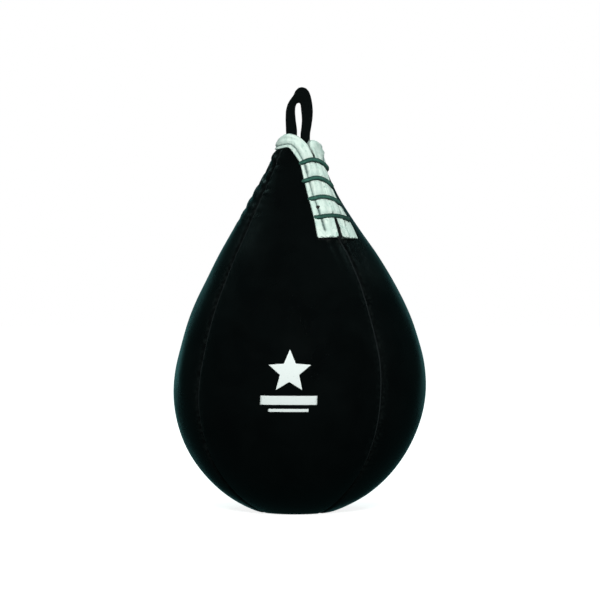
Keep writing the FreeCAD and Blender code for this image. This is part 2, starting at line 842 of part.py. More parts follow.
SHOULDER_CENTRE_UP = f"({UPPER_END} - shoulder_arc * sin(belly_slope))"
SHOULDER_CENTRE_ACROSS = f"({UPPER_RADIUS} - shoulder_arc * cos(belly_slope))"


DOME_CENTRE_UP = f"({SHOULDER_CENTRE_UP} - {SHOULDER_CENTRE_ACROSS} * tan(dome_slope))"
DOME_EDGE_RADIUS = f"({SHOULDER_CENTRE_ACROSS} + shoulder_arc * cos(dome_slope))"


def dome_radius(depth):
    return f"({DOME_EDGE_RADIUS} / cos(dome_slope) - {depth})"


def dome_top(depth):
    """Where the bladder's dome crosses the axis, at a depth below the leather."""
    return f"({DOME_CENTRE_UP} + {dome_radius(depth)})"


def domed_chain(sketch, depth):
    """The profile up to the dome's edge, and the dome on to the axis."""
    edge_height = f"({SHOULDER_CENTRE_UP} + (shoulder_arc - {depth}) * sin(dome_slope))"
    start, end = chain(sketch, depth, depth, edge_height)
    centre = FreeCAD.Vector(0, value(DOME_CENTRE_UP), 0)
    ring = Part.Circle(centre, FreeCAD.Vector(0, 0, 1), value(dome_radius(depth)))
    slope = math.radians(value("dome_slope"))
    arc = sketch.addGeometry(Part.ArcOfCircle(ring, slope, math.pi / 2), False)
    sketch.addConstraint(Sketcher.Constraint("Tangent", *end, arc, 1))
    sketch.addConstraint(Sketcher.Constraint("PointOnObject", arc, 3, VERTICAL_AXIS))
    sketch.addConstraint(Sketcher.Constraint("PointOnObject", arc, 2, VERTICAL_AXIS))
    return start, (arc, 2)


def build_bladder():
    body = new_body("bladder")
    sketch = new_sketch(body, "wall", "XZ_Plane")
    outer_start, outer_top = domed_chain(sketch, "bladder_start")
    inner_start, inner_top = domed_chain(sketch, "bladder_end")
    line_between(sketch, outer_top, inner_top)
    base_step(sketch, outer_start, inner_start, "0")
    revolve(body, sketch)
    hole = new_sketch(body, "valve_hole", "XY_Plane", offset=SHOULDER_END)
    circle(hole, "0", "0", "valve_hole")
    pocket(body, hole, CUT_REACH, middle=True)
    turn_with_bag(body)


def build_valve_seat():
    """A rubber boss through the top of the bladder, flanged outside and bored for the core."""
    body = new_body("valve_seat")
    sketch = new_sketch(body, "section", "XZ_Plane")
    top = dome_top("bladder_start")
    flange_foot = f"({top} + rim_gap)"
    flange_top = f"({flange_foot} + valve_flange_thickness)"
    polygon(sketch, (
        ("valve_bore", f"{top} - valve_inner_depth"),
        ("valve_stem", f"{top} - valve_inner_depth"),
        ("valve_stem", flange_foot),
        ("valve_flange", flange_foot),
        ("valve_flange", flange_top),
        ("valve_boss", flange_top),
        ("valve_boss", f"{flange_foot} + valve_height"),
        ("valve_bore", f"{flange_foot} + valve_height"),
    ))
    revolve(body, sketch)
    turn_with_bag(body)


def build_valve_core():
    """The needle valve that is pushed into the boss."""
    body = new_body("valve_core")
    sketch = new_sketch(body, "section", "XZ_Plane")
    head_foot = f"({dome_top('bladder_start')} + 2 * rim_gap + valve_height)"
    polygon(sketch, (
        ("0", f"{head_foot} - core_length"),
        ("core_radius", f"{head_foot} - core_length"),
        ("core_radius", head_foot),
        ("core_head", head_foot),
        ("core_head", f"{head_foot} + core_head_height"),
        ("0", f"{head_foot} + core_head_height"),
    ))
    revolve(body, sketch)
    turn_with_bag(body)


# ---------------------------------------------------------------- build, check and write


def build_all():
    for quarters, side in enumerate(SIDES):
        build_panel(side, quarters)
        build_lining(side, quarters)
    for quarters, seam in enumerate(SEAMS):
        build_welt(seam, quarters)
    build_bottom_patch()
    build_tongue()
    build_placket()
    build_placket_stitching()
    build_lace()
    build_lace_knots()
    build_hanging_loop()
    build_loop_tail("left", "0 - loop_half")
    build_loop_tail("right", "loop_eye_half")
    build_tail_stitching()
    build_loop_washer()
    build_bladder()
    build_valve_seat()
    build_valve_core()


def check_all():
    """Stop before anything is written if an object failed or a shape is bad."""
    for item in doc.Objects:
        if {"Invalid", "Error"} & set(item.State):
            raise RuntimeError(f"{item.Label} did not build: {item.State}")
    for part in parts:
        if part.Shape.isNull() or not part.Shape.isValid():
            raise RuntimeError(f"{part.Label} has a bad shape")


def write_all():
    os.makedirs("parts", exist_ok=True)
    for part in parts:
        part.Shape.exportStep(os.path.join("parts", f"{part.Label}.step"))
        box = part.Shape.BoundBox
        print(f"{part.Label:22s} solids {len(part.Shape.Solids):3d} volume {part.Shape.Volume:10.1f}"
              f"  x {box.XMin:7.1f} {box.XMax:7.1f}  y {box.YMin:7.1f} {box.YMax:7.1f}"
              f"  z {box.ZMin:7.1f} {box.ZMax:7.1f}")


build_all()
doc.recompute()
check_all()
write_all()
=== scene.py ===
import json
import math

import bpy
import numpy as np
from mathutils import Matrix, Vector


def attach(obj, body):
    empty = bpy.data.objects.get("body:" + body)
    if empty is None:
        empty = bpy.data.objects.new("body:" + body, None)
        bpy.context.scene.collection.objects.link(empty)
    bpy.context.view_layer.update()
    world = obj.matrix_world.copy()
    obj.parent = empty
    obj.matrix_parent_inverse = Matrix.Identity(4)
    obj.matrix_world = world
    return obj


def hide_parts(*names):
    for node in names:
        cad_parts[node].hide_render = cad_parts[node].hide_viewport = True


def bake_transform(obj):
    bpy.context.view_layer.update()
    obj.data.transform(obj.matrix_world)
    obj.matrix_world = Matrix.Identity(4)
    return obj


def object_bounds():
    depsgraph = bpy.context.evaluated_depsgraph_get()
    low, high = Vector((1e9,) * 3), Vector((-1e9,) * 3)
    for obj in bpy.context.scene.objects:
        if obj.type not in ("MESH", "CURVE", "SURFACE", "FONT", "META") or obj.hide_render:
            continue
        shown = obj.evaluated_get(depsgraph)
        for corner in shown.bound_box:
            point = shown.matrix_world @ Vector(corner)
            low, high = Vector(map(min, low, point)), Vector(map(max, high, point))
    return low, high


# A laced leather punching ball, in metres. The bag's own frame has the slit at angle 0,
# and the whole bag is turned about Z so that the slit faces front right.

MM = 0.001

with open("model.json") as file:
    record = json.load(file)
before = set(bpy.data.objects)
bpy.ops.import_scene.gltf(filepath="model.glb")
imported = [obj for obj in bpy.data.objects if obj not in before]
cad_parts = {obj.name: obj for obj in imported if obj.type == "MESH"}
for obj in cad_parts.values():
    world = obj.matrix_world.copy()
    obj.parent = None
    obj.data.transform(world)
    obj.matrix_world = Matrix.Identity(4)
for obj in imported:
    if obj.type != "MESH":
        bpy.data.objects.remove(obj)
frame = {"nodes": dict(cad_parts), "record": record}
cad_low, cad_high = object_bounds()
BAG_TURN = math.radians(-51.5)
FRONT = math.radians(-90) - BAG_TURN

# Small helpers


def smooth_step(value, low, high):
    share = np.clip((value - low) / (high - low), 0, 1)
    return share * share * (3 - 2 * share)


def bell(value, middle, width):
    return np.exp(-((value - middle) / width) ** 2)


def wrapped(angle):
    """An angle brought to between minus and plus half a turn."""
    return (angle + math.pi) % (2 * math.pi) - math.pi


def between(first, second, share):
    return first + (second - first) * share


def distances(line):
    """How far along a path each of its points is."""
    return np.concatenate([[0], np.cumsum(np.linalg.norm(np.diff(line, axis=0), axis=1))])


def directions(vectors):
    """The same vectors, each one unit long."""
    return vectors / np.linalg.norm(vectors, axis=-1, keepdims=True)


def full_turn(count):
    """Even angles round a full turn."""
    return np.linspace(0, 2 * math.pi, count, endpoint=False)


# The bag's profile

BELLY_RADIUS = (cad_high.x - cad_low.x) / 2
BELLY_HEIGHT = 88.5 * MM
LOWER_ARC = 94.2 * MM
UPPER_ARC = 100 * MM
SHOULDER_ARC = 252 * MM
THROAT_ARC = 441.5 * MM
NECK_ARC = 43.8 * MM
BELLY_SLOPE = math.radians(15.2)
SHOULDER_SLOPE = math.radians(33.8)
THROAT_SLOPE = math.radians(24.75)
PROFILE_STEP = 0.5 * MM
CORNER_SMOOTHING = 5
BASE_HOLE = 1.2 * MM


def arc_stage(start, centre_side, radius, first, last):
    """Points along one arc of the profile, from the slope of its start to that of its end."""
    steps = max(2, int(radius * abs(last - first) / PROFILE_STEP))
    slopes = np.linspace(first, last, steps)[1:]
    centre = start - centre_side * radius * np.array([math.cos(first), math.sin(first)])
    return centre + centre_side * radius * np.stack([np.cos(slopes), np.sin(slopes)], axis=1)


def make_profile():
    """Radius and height along the leather's outside, from the middle of the base to the rim."""
    centre_across = BELLY_RADIUS - LOWER_ARC
    foot = centre_across + math.sqrt(LOWER_ARC ** 2 - BELLY_HEIGHT ** 2)
    flat = np.arange(0, foot, PROFILE_STEP)
    points = [np.stack([flat, np.zeros_like(flat)], axis=1)]
    foot_slope = -math.asin(BELLY_HEIGHT / LOWER_ARC)
    stages = (
        (1, LOWER_ARC, foot_slope, 0.0),
        (1, UPPER_ARC, 0.0, BELLY_SLOPE),
        (1, SHOULDER_ARC, BELLY_SLOPE, SHOULDER_SLOPE),
        (-1, THROAT_ARC, SHOULDER_SLOPE, THROAT_SLOPE),
        (-1, NECK_ARC, THROAT_SLOPE, 0.0),
    )
    start = np.array([foot, 0.0])
    for side, radius, first, last in stages:
        points.append(arc_stage(start, side, radius, first, last))
        start = points[-1][-1]
    line = np.concatenate(points)
    for _ in range(CORNER_SMOOTHING):
        line[1:-1] = (line[:-2] + 2 * line[1:-1] + line[2:]) / 4
    return line


PROFILE = make_profile()
ALONG = distances(PROFILE)
TANGENT = np.gradient(PROFILE, ALONG, axis=0)
RIM = ALONG[-1]


def along_at(height):
    """Distance along the profile at a height."""
    return np.interp(height, PROFILE[:, 1], ALONG)


def radius_at(along):
    return np.interp(along, ALONG, PROFILE[:, 0])


def height_at(along):
    return np.interp(along, ALONG, PROFILE[:, 1]) + np.maximum(along - RIM, 0)


# The soft bag leans a little to one side and back: height and sideways shift of its middle.
LEAN = ((0, -2.2), (20, -1.2), (60, 0.2), (112, 1.8), (165, 1.2), (182, 0.0), (200, -1.3), (225, -2.6),
        (245, -1.3), (262, 0.0), (275, 0.0))
LEAN_STEP = 1 * MM
LEAN_BLUR = 15
lean_heights = np.arange(LEAN[0][0] * MM, LEAN[-1][0] * MM, LEAN_STEP)
lean_shifts = np.interp(lean_heights, *[np.array(column) * MM for column in zip(*LEAN)])
for _ in range(LEAN_BLUR):
    lean_shifts[1:-1] = (lean_shifts[:-2] + lean_shifts[1:-1] + lean_shifts[2:]) / 3
NECK_SQUEEZE = 1.4 * MM
SQUEEZE_HEIGHTS = (255 * MM, 264 * MM)


def surface(angle, along, out):
    """Points at a distance outside the leather; angle 0 is the slit, and past the rim is straight up."""
    angle, along, out = np.broadcast_arrays(angle, along, out)
    tangent_across = np.interp(along, ALONG, TANGENT[:, 0])
    tangent_up = np.interp(along, ALONG, TANGENT[:, 1])
    length = np.hypot(tangent_across, tangent_up)
    radius = radius_at(along) + out * tangent_up / length
    height = height_at(along) - out * tangent_across / length
    radius = radius - NECK_SQUEEZE * smooth_step(height, *SQUEEZE_HEIGHTS)
    turned = angle + BAG_TURN
    shift = np.interp(height, lean_heights, lean_shifts)
    return np.stack([radius * np.cos(turned) + shift, radius * np.sin(turned), height], axis=-1)


# The leather's unevenness

QUARTER = math.pi / 2
WAVE_COUNT = 22
WAVE_LENGTHS = (28 * MM, 75 * MM)
WAVE_DEPTH = 0.075 * MM
waves_random = np.random.default_rng(7)
wave_directions = directions(waves_random.normal(size=(WAVE_COUNT, 3)))
wave_numbers = 2 * math.pi / waves_random.uniform(*WAVE_LENGTHS, WAVE_COUNT)
wave_phases = waves_random.uniform(0, 2 * math.pi, WAVE_COUNT)

# Long creases that run down from the collar or out from the foot of the slit:
# angle and height where each starts, the same where it ends, half-width and depth.
CREASES = (
    (-76, 257, -50, 205, 2.0, 0.55),
    (-66, 258, -31, 166, 2.4, 0.75),
    (-57, 256, -27, 184, 1.8, 0.60),
    (-47, 252, -24, 196, 1.6, 0.55),
    (-100, 256, -84, 214, 2.2, 0.70),
    (-112, 257, -104, 222, 2.0, 0.65),
    (-128, 258, -118, 208, 2.2, 0.60),
    (-146, 257, -140, 218, 2.0, 0.50),
    (50, 255, 33, 206, 1.8, 0.55),
    (66, 257, 52, 214, 2.0, 0.60),
    (108, 257, 102, 220, 2.0, 0.60),
    (140, 257, 128, 212, 2.2, 0.60),
    (168, 258, 160, 222, 2.0, 0.50),
    (-13, 196, -9, 168, 2.0, 0.55),
    (-4, 194, -4, 160, 1.6, 0.45),
    (5, 195, 4, 172, 1.5, 0.45),
    (12, 196, 10, 165, 2.2, 0.60),
    (19, 198, 18, 178, 2.0, 0.50),
)
CREASE_LIP = 0.45
CREASE_LIP_WIDTH = 2.6
CREASE_START = (-0.1, 0.12)
CREASE_END = (-1.0, -0.45)
SEAM_DIP = 0.8 * MM
SEAM_DIP_REACH = 8 * MM
PUCKER_DEPTH = 0.42 * MM
PUCKER_LENGTH = 6.5 * MM
PUCKER_TWIST = 5
PUCKER_REACH = 6 * MM
GROUP_LENGTH = 27 * MM
GROUP_TWIST = 7
GROUP_SWING = 0.4
RIPPLE_DEPTH = 0.55 * MM
RIPPLE_LENGTH = 9.5 * MM
RIPPLE_WANDER = 3.2
RIPPLE_BENDS = 3
RIPPLE_FLATTENING = 0.6
RIPPLE_POWER = 3
RIPPLE_SPREAD = math.radians(28)
BULGE_DEPTH = 1.1 * MM
BULGE_HEIGHT = 253 * MM
BULGE_HALF = 4 * MM
BULGE_SPREAD = math.radians(45)
LEFT_SIDE = math.radians(-118)
# The heights over which the unevenness comes in, or dies out under the collar.
FLOOR_FADE = (1 * MM, 14 * MM)
PUCKER_FADE = (176 * MM, 236 * MM)
RIPPLE_FADE = (196 * MM, 222 * MM)
RIM_FADE = (255 * MM, 260 * MM)


def crease_depth(angle, height, radius):
    """The long creases, as valleys that fade out at both ends."""
    total = np.zeros(np.broadcast(angle, height).shape)
    for start_angle, start, end_angle, end, width, depth in CREASES:
        share = (start * MM - height) / ((start - end) * MM)
        middle = np.radians(between(start_angle, end_angle, np.clip(share, 0, 1)))
        across = wrapped(angle - middle) * radius
        fade = smooth_step(share, *CREASE_START) * smooth_step(-share, *CREASE_END)
        lip = CREASE_LIP * bell(across, 0, CREASE_LIP_WIDTH * width * MM)
        total += depth * MM * fade * (bell(across, 0, width * MM) - lip)
    return total


def puckers(angle, along, from_seam):
    """Small gathers beside the seams, in groups."""
    waves = np.sin(2 * math.pi * along / PUCKER_LENGTH + PUCKER_TWIST * angle)
    groups = np.sin(2 * math.pi * along / GROUP_LENGTH + GROUP_TWIST * angle)
    groups = 1 - GROUP_SWING + GROUP_SWING * groups
    return PUCKER_DEPTH * waves * groups * np.exp(-from_seam / PUCKER_REACH)


def ripples(angle, along):
    """Level wrinkles across the left of the neck."""
    waves = np.sin(2 * math.pi * along / RIPPLE_LENGTH + RIPPLE_WANDER * np.sin(RIPPLE_BENDS * angle))
    waves = waves - RIPPLE_FLATTENING * np.maximum(0, waves) ** RIPPLE_POWER
    return RIPPLE_DEPTH * waves * bell(wrapped(angle - LEFT_SIDE), 0, RIPPLE_SPREAD)


def leather_out(angle, along):
    """How far the leather stands out from the smooth profile."""
    radius = np.maximum(radius_at(along), BASE_HOLE)
    height = height_at(along)
    place = surface(angle, along, 0.0)
    waves = np.sin(np.tensordot(place, (wave_directions * wave_numbers[:, None]).T, 1) + wave_phases)
    seam_angle = (angle + QUARTER / 2) % QUARTER - QUARTER / 2
    from_seam = np.abs(seam_angle) * radius
    out = WAVE_DEPTH * waves.sum(-1) - SEAM_DIP * np.exp(-from_seam / SEAM_DIP_REACH)
    out = out * smooth_step(height, *FLOOR_FADE)
    out += puckers(angle, along, from_seam) * smooth_step(height, *PUCKER_FADE)
    out += ripples(angle, along) * smooth_step(height, *RIPPLE_FADE)
    out -= crease_depth(angle, height, radius)
    out *= 1 - smooth_step(height, *RIM_FADE)
    around_left = bell(wrapped(angle - LEFT_SIDE), 0, BULGE_SPREAD)
    return out + BULGE_DEPTH * bell(height, BULGE_HEIGHT, BULGE_HALF) * around_left


# Mesh helpers


def link_object(name, data):
    piece = bpy.data.objects.new(name, data)
    bpy.context.scene.collection.objects.link(piece)
    return piece


def new_object(name, vertices, faces, attributes=None):
    mesh = bpy.data.meshes.new(name)
    mesh.from_pydata(np.asarray(vertices).reshape(-1, 3).tolist(), [], faces)
    mesh.validate()
    mesh.shade_smooth()
    for key, values in (attributes or {}).items():
        layer = mesh.attributes.new(key, "FLOAT", "POINT")
        layer.data.foreach_set("value", np.asarray(values, np.float32).ravel())
    return link_object(name, mesh)


def grid_faces(rows, columns, start=0, wrap=False, flip=False):
    """Quads of a grid stored row by row; wrap joins the last column to the first."""
    faces = []
    for row in range(rows - 1):
        for column in range(columns if wrap else columns - 1):
            following = (column + 1) % columns
            corners = [row * columns + column, row * columns + following,
                       (row + 1) * columns + following, (row + 1) * columns + column]
            if flip:
                corners.reverse()
            faces.append(tuple(start + corner for corner in corners))
    return faces


def tube_object(name, rings, attributes=None, flip=False):
    """A closed tube from rings of points, with a fan over each end."""
    count, sides = rings.shape[:2]
    faces = grid_faces(count, sides, wrap=True, flip=flip)
    first_middle = count * sides
    vertices = np.concatenate([rings.reshape(-1, 3), rings[:1].mean(1), rings[-1:].mean(1)])
    for side in range(sides):
        following = (side + 1) % sides
        low = (following, side, first_middle)
        last = (count - 1) * sides
        high = (last + side, last + following, first_middle + 1)
        faces.append(low[::-1] if flip else low)
        faces.append(high[::-1] if flip else high)
    padded = None
    if attributes:
        padded = {key: np.concatenate([values.ravel(), values[:1].mean(1), values[-1:].mean(1)])
                  for key, values in attributes.items()}
    return new_object(name, vertices, faces, padded)


# The placket's outline

# The white strip's inner and outer edge, each as degrees from the slit and height in mm: up the
# left of the slit, over the notch, round the neck and down the right of the slit.
STRIP = (
    (-3.9, 193.1, -22.2, 193.3), (-2.2, 200.5, -21.6, 200.5), (-0.5, 206, -21.1, 206),
    (1.7, 213, -21.2, 212), (3.2, 221, -21.8, 221), (2.8, 230, -23.8, 230), (2.0, 240, -27.9, 239.5),
    (0.0, 247, -31.6, 246.8), (-3.3, 252.4, -38.5, 250.2), (-6.5, 257.4, -44.5, 252.6),
    (-12, 261.2, -50.4, 255), (-24.3, 264.4, -57, 257.2), (-37, 266.5, -63.5, 258.4),
    (-50, 267.9, -70, 258.6), (-66, 268.9, -78, 258.3), (-84, 268.6, -90, 257.7),
    (-104, 266.8, -106, 257.6), (-126, 264.2, -126, 258), (-150, 262.8, -150, 258.3),
    (-180, 262.4, -180, 258.4), (-215, 262.4, -215, 258.3), (-250, 262.6, -250, 258),
    (-280, 262.2, -277, 257), (-296, 262, -292, 254.8), (-312, 262.4, -300, 251.4),
    (-326, 263.4, -306, 248.6), (-338, 264.3, -311, 246.8), (-350, 264.5, -315, 245.6),
    (-359, 264.2, -318.5, 244.6), (-365.5, 262.6, -322.5, 243.6), (-367, 259, -325.5, 242.6),
    (-364.2, 254.8, -328.5, 241.4), (-360.6, 251, -330.5, 240), (-358.9, 247, -332.0, 238.4),
    (-357.8, 240, -334.2, 234.6), (-356.9, 231, -336.0, 229.4), (-356.5, 221, -337.2, 221),
    (-357.7, 213, -336.8, 213), (-358.6, 206, -336.6, 206), (-360.0, 200.5, -338.0, 200.5),
    (-361.8, 192.7, -341.4, 193.5),
)
STRIP_ROWS = 460
# The slit's middle: height and degrees from the plane of the seam.
SLIT_LINE = ((184, 0.0), (193, -2.1), (200.5, -0.7), (206, 0.5), (213, 1.9), (221, 3.5), (231, 2.9),
             (240, 2.1), (247, 0.6), (252, -2.0), (262, -6.0))
slit_heights, slit_turns = np.array(SLIT_LINE).T


def slit_angle(height):
    """The slit's middle at a height; it wanders a few degrees from the seam's plane."""
    return np.radians(np.interp(height, slit_heights * MM, slit_turns))


def blurred(values, window):
    """Values smoothed over a window, with the ends kept in place."""
    kernel = np.hanning(2 * window + 1)
    kernel /= kernel.sum()
    before = 2 * values[0] - values[window:0:-1]
    after = 2 * values[-1] - values[-2:-window - 2:-1]
    return np.convolve(np.concatenate([before, values, after]), kernel, "valid")


def resampled(values, count):
    """Values at even shares along a list, with its corners smoothed."""
    shares = np.linspace(0, 1, count)
    knots = np.linspace(0, 1, len(values))
    return blurred(np.interp(shares, knots, values), count // (2 * len(values)))


def strip_edge(degrees, heights):
    """Angles and places along the profile of one edge, at even shares of the strip."""
    angle = resampled(np.radians(degrees), STRIP_ROWS)
    height = resampled(heights * MM, STRIP_ROWS)
    return angle, np.where(height > height_at(RIM), RIM + height - height_at(RIM), along_at(height))


inner_turns, inner_heights, outer_turns, outer_heights = np.array(STRIP).T
inner_angle, inner_along = strip_edge(inner_turns, inner_heights)
outer_angle, outer_along = strip_edge(outer_turns, outer_heights)
strip_widths = np.hypot((outer_angle - inner_angle) * (radius_at(inner_along) + radius_at(outer_along)) / 2,
                        outer_along - inner_along)

# The lines of the strip that make the collar's top, from one side of the notch round to the other.
COLLAR_LINES = slice(8, 31)
COLLAR_COVER = 3.4 * MM
CROWD_FROM = 226 * MM
DEGREES = 360


def sorted_interp(value, places, values):
    """Between values whose places are in any order."""
    order = np.argsort(places)
    return np.interp(value, places[order], values[order])


def collar_top(angle):
    """Height of the collar's upper edge at an angle."""
    degrees = np.degrees(angle) % DEGREES - DEGREES
    return sorted_interp(degrees, inner_turns[COLLAR_LINES], inner_heights[COLLAR_LINES]) * MM


def crowd_under_collar(angle, along):
    """Move places along the profile down so that the leather ends inside the collar's fold."""
    start = along_at(CROWD_FROM)
    end = along_at(collar_top(angle) - COLLAR_COVER)
    share = np.clip((along - start) / (RIM - start), 0, 1)
    return np.where(along > start, start + (end - start) * share, along)


# Panels, linings and welts

SKIN = 1.6 * MM
ROLL_RADIUS = 1.9 * MM
FLANGE_DEPTH = 4.4 * MM
ROLL_STEPS = 6
SEAM_HALF = 0.55 * MM
SLIT_HALF = 2.3 * MM
# The heights between which the laced seam opens.
SLIT_FOOT = 194 * MM
SLIT_OPEN = 200 * MM
EDGE_SPACING = (0.7, 1.6, 2.8, 4.4)
EDGE_WEAR = (0.6, 0.3, 0)
NARROW_SHARE = 0.4
MIDDLE_COLUMNS = 40
ROW_STEP = 1.6 * MM
SIDES = ("right", "back", "left", "front")
SEAMS = ("laced", "rear_right", "rear_left", "front_left")
RIGHT_OF_SLIT = 0
LEFT_OF_SLIT = 3


def edge_section(inset):
    """Distance from the seam's wall and depth, from the flange's end to past the rolled edge."""
    radius = ROLL_RADIUS - inset
    turns = np.linspace(math.pi, math.pi / 2, ROLL_STEPS + 1)
    roll = np.stack([ROLL_RADIUS + radius * np.cos(turns), -ROLL_RADIUS + radius * np.sin(turns)], axis=1)
    wall = np.array([[inset, -FLANGE_DEPTH], [inset, -(FLANGE_DEPTH + ROLL_RADIUS) / 2]])
    flat = np.array([[ROLL_RADIUS + gap * MM, -inset] for gap in EDGE_SPACING])
    return np.concatenate([wall, roll, flat])


def wall_gap(along, laced):
    """Half the gap between two gores; the laced seam opens into the slit."""
    opening = smooth_step(height_at(along), SLIT_FOOT, SLIT_OPEN)
    return between(SEAM_HALF, SLIT_HALF, opening * laced)


def seam_shift(along, laced):
    """How far a seam's wall has moved round with the slit."""
    return slit_angle(height_at(along)) * laced


def panel_sheet(quarter, inset, rows):
    """One face of a gore: points and how near the edge they are, as grids."""
    section = edge_section(inset)
    count = len(section)
    radius = np.maximum(radius_at(rows), BASE_HOLE)[:, None]
    scale = np.minimum(1, NARROW_SHARE * radius * QUARTER / (section[-1, 0] + SLIT_HALF))
    low_laced = quarter == RIGHT_OF_SLIT
    high_laced = quarter == LEFT_OF_SLIT
    low_gap = wall_gap(rows, low_laced)[:, None]
    high_gap = wall_gap(rows, high_laced)[:, None]
    low = (low_gap + section[:, 0]) * scale / radius + seam_shift(rows, low_laced)[:, None]
    high = QUARTER - (high_gap + section[:, 0]) * scale / radius + seam_shift(rows, high_laced)[:, None]
    share = np.linspace(0, 1, MIDDLE_COLUMNS + 2)[1:-1]
    middle = between(low[:, -1:], high[:, -1:], share)
    angle = np.concatenate([low, middle, high[:, ::-1]], axis=1) + quarter * QUARTER
    along = crowd_under_collar(angle, rows[:, None])
    depth = np.concatenate([section[:, 1], np.full(MIDDLE_COLUMNS, -inset), section[::-1, 1]])
    side = np.concatenate([np.ones(count - len(EDGE_WEAR)), EDGE_WEAR])
    edge = np.concatenate([side, np.zeros(MIDDLE_COLUMNS), side[::-1]])
    points = surface(angle, along, depth * scale + leather_out(angle, along))
    return points, np.broadcast_to(edge, angle.shape)


def closed_sheet(name, outer, inner, attributes=None):
    """A closed skin between two grids of points."""
    count, columns = outer.shape[:2]
    total = count * columns
    faces = grid_faces(count, columns) + grid_faces(count, columns, start=total, flip=True)
    rim = ([row * columns for row in range(count - 1, 0, -1)] + list(range(columns))
           + [row * columns + columns - 1 for row in range(1, count)]
           + [(count - 1) * columns + column for column in range(columns - 2, 0, -1)])
    for here, there in zip(rim, rim[1:] + rim[:1]):
        faces.append((there, here, total + here, total + there))
    return new_object(name, np.concatenate([outer, inner]), faces, attributes)


def build_panel(side, quarter):
    rows = np.arange(2 * BASE_HOLE, RIM, ROW_STEP)
    outer, edge = panel_sheet(quarter, 0.0, rows)
    inner, _ = panel_sheet(quarter, SKIN, rows)
    panel = closed_sheet(f"panel_{side}", outer, inner, {"edge": np.concatenate([edge, edge])})
    dress(panel, "bag", "leather_black", f"panel_{side}")


LINING_OUTSIDE = 2.0 * MM
LINING_INSIDE = 2.7 * MM
LINING_SEAM = 6.6 * MM
LINING_COLUMNS = 26
LINING_START = 12 * MM
LINING_STEP = 3 * MM


def build_lining(side, quarter):
    """The cloth inside one gore, with its edges under the leather's flanges."""
    rows = np.arange(LINING_START, RIM, LINING_STEP)[:, None]
    clear = LINING_SEAM / radius_at(rows)
    low = clear + seam_shift(rows, quarter == RIGHT_OF_SLIT)
    high = QUARTER - clear + seam_shift(rows, quarter == LEFT_OF_SLIT)
    angle = quarter * QUARTER + between(low, high, np.linspace(0, 1, LINING_COLUMNS))
    along = crowd_under_collar(angle, rows)
    out = leather_out(angle, along)
    lining = closed_sheet(f"lining_{side}", surface(angle, along, out - LINING_OUTSIDE),
                          surface(angle, along, out - LINING_INSIDE))
    dress(lining, "bag", "lining_cloth", f"lining_{side}")


TONGUE_OUTSIDE = 5.2 * MM
TONGUE_INSIDE = 6.6 * MM
TONGUE_HALF = 8.6 * MM
TONGUE_LOW = 186 * MM
TONGUE_HIGH = 242 * MM
TONGUE_COLUMNS = 17
TONGUE_WEAR = 8


def build_tongue():
    """The leather flap behind the slit, which stays dark between the facings."""
    rows = np.arange(along_at(TONGUE_LOW), along_at(TONGUE_HIGH), ROW_STEP)[:, None]
    across = np.linspace(-1, 1, TONGUE_COLUMNS)
    angle = slit_angle(height_at(rows)) + across * TONGUE_HALF / radius_at(rows)
    edge = np.broadcast_to(np.abs(across) ** TONGUE_WEAR, angle.shape)
    tongue = closed_sheet("slit_tongue", surface(angle, rows, -TONGUE_OUTSIDE),
                          surface(angle, rows, -TONGUE_INSIDE), {"edge": np.concatenate([edge, edge])})
    dress(tongue, "bag", "leather_black", "tongue")


WELT_HALF = 0.48 * MM
WELT_TOP = 0.75 * MM
WELT_FOOT = 4.2 * MM
WELT_START = 2.4 * MM
WELT_TURNS = 7


def build_welt(seam, quarter):
    """The strip between two gores, with a rounded edge that shows in the groove."""
    laced = seam == "laced"
    top = along_at(SLIT_FOOT) if laced else RIM
    rows = np.arange(WELT_START, top, ROW_STEP)[:, None]
    turns = np.linspace(0, math.pi, WELT_TURNS)
    bead = np.stack([WELT_HALF * np.cos(turns), WELT_HALF * np.sin(turns) - WELT_TOP - WELT_HALF], axis=1)
    section = np.concatenate([[[WELT_HALF, -WELT_FOOT]], bead, [[-WELT_HALF, -WELT_FOOT]]])
    middle = quarter * QUARTER + seam_shift(rows, laced)
    angle = middle + section[:, 0] / np.maximum(radius_at(rows), BASE_HOLE)
    along = crowd_under_collar(middle, rows)
    ring = surface(angle, along, section[:, 1] + leather_out(middle, along))
    welt = tube_object(f"seam_welt_{seam}", ring, flip=True)
    dress(welt, "bag", "welt_black", f"seam_welt_{seam}")


# The lace

LACE_RADIUS = 1.3 * MM
PLACKET_SKIN = 1.7 * MM
PRESSED_SKIN = 1.0 * MM
# Heights of each row of the lace: its left hole, two points over the facings and its right hole.
LACE_ROWS = np.array((
    (246.2, 250.2, 248.8, 243.2),
    (233.8, 236.9, 235.6, 230.0),
    (221.0, 223.2, 222.3, 217.9),
    (207.8, 209.5, 209.1, 206.2),
)) * MM
# For each facing: its lines of the strip, the turn that brings them near the slit, which way is out,
# and how far beside its outer edge the holes are, at these heights.
HOLE_HEIGHTS = (207, 221, 234, 246)
LEFT = (slice(0, 9), 0, -1, (-1.1, -0.8, 0.3, 0.9))
RIGHT = (slice(26, None), 2 * math.pi, 1, (0.3, -0.7, 0.3, -1.1))
LINING_DEPTH = 2.8 * MM
LACE_GAP = 0.15 * MM
ROUTE_RUNS = 3
ROUTE_STEP = 0.5 * MM
ROUTE_FINENESS = 24
ROUTE_ORDER = 3


def hole_angle(facing, height):
    """The angle of the lace hole beside a facing's outer edge at a height."""
    lines, turn, outward, gaps = facing
    edge = sorted_interp(height / MM, outer_heights[lines], outer_turns[lines])
    gap = np.interp(height / MM, HOLE_HEIGHTS, gaps) * MM
    return np.radians(edge) + turn + outward * gap / radius_at(along_at(height))


def skin_point(angle, height, out):
    """A point at a level height and a distance off the sloping surface."""
    along = along_at(height)
    slope = np.interp(along, ALONG, TANGENT[:, 0])
    return surface(angle, along_at(height + out * slope), out)


